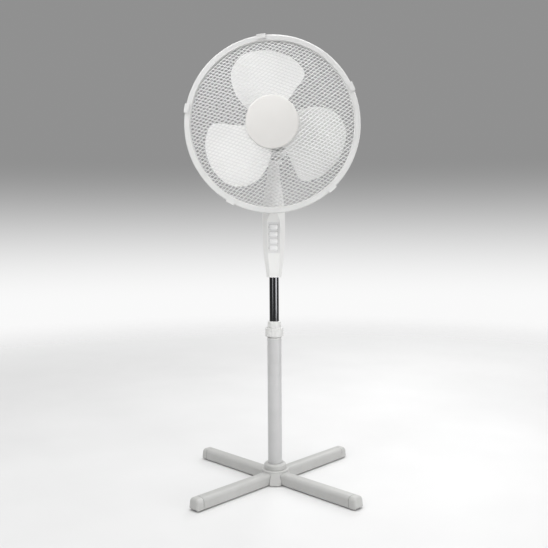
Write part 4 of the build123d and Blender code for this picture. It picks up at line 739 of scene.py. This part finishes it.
def make_backdrop():
    """Backdrop from near white at the floor to grey behind the head, and a soft fill from above."""
    world = bpy.data.worlds.new("studio")
    bpy.context.scene.world = world
    world.use_nodes = True
    tree = world.node_tree
    place = tree.nodes.new("ShaderNodeTexCoord")
    parts = tree.nodes.new("ShaderNodeSeparateXYZ")
    tree.links.new(place.outputs["Generated"], parts.inputs["Vector"])
    height = parts.outputs["Z"]
    rays = tree.nodes.new("ShaderNodeLightPath")
    choice = tree.nodes.new("ShaderNodeMix")
    tree.links.new(rays.outputs["Is Camera Ray"], choice.inputs["Factor"])
    fill = slope(tree, height, FILL_FOOT, FILL_HEAD, FILL_LOW, FILL_HIGH)
    backdrop = slope(tree, height, BACKDROP_FOOT, BACKDROP_HEAD, BACKDROP_PALE, BACKDROP_GREY)
    tree.links.new(fill, choice.inputs["A"])
    tree.links.new(backdrop, choice.inputs["B"])
    tree.links.new(choice.outputs["Result"], tree.nodes["Background"].inputs["Color"])


def make_studio():
    """Soft lights at both sides, in front, overhead and behind, a key for the head, and the backdrop."""
    make_backdrop()
    make_light("right", place=(1.9, -1.3, 0.52), target=(0, 0, 0.42), size=(1.6, 0.75), power=3.7, spread=56)
    make_light("left", place=(-1.3, -1.9, 0.75), target=(0, 0, 0.6), size=(0.8, 1.1), power=0.85, spread=44)
    make_light("front", place=(0, -1.3, 2.7), target=(0, -0.1, 0.9), size=(1.4, 0.9), power=8)
    make_light("key", place=(-1.3, -1.4, 1.9), target=(0, -0.1, 0.95), size=(0.7, 0.7), power=1.5, spread=44)
    make_light("overhead", place=(0.0, -0.3, 3.2), target=(0, -0.3, 0), size=(3.2, 3.2), power=76)
    make_light("behind", place=(0.9, 2.2, 1.7), target=(0, 0, 0.8), size=(1.4, 1.4), power=22)
    bpy.context.scene.view_settings.view_transform = "Standard"


def make_camera():
    """Camera at the fitted place and turn."""
    forward = Vector((-math.sin(CAMERA_AZIMUTH) * math.cos(CAMERA_PITCH),
                      math.cos(CAMERA_AZIMUTH) * math.cos(CAMERA_PITCH),
                      -math.sin(CAMERA_PITCH)))
    level = Vector((math.cos(CAMERA_AZIMUTH), math.sin(CAMERA_AZIMUTH), 0))
    above = level.cross(forward)
    right = level * math.cos(CAMERA_ROLL) + above * math.sin(CAMERA_ROLL)
    up = above * math.cos(CAMERA_ROLL) - level * math.sin(CAMERA_ROLL)
    turn = Matrix((right, up, -forward)).transposed().to_4x4()
    place = Vector((math.sin(CAMERA_AZIMUTH) * CAMERA_DISTANCE,
                    -math.cos(CAMERA_AZIMUTH) * CAMERA_DISTANCE, CAMERA_HEIGHT))
    lens = bpy.data.cameras.new("camera")
    lens.sensor_width = SENSOR / MILLIMETRE
    lens.lens = FOCAL_PIXELS / FRAME_PIXELS * SENSOR / MILLIMETRE
    camera = bpy.data.objects.new("camera", lens)
    camera.matrix_world = Matrix.Translation(place) @ turn
    bpy.context.scene.collection.objects.link(camera)
    bpy.context.scene.camera = camera


paint_nodes()
make_front_guard()
make_rear_guard()
make_badge()
make_blade()
make_buttons()
make_floor()
make_studio()
make_camera()
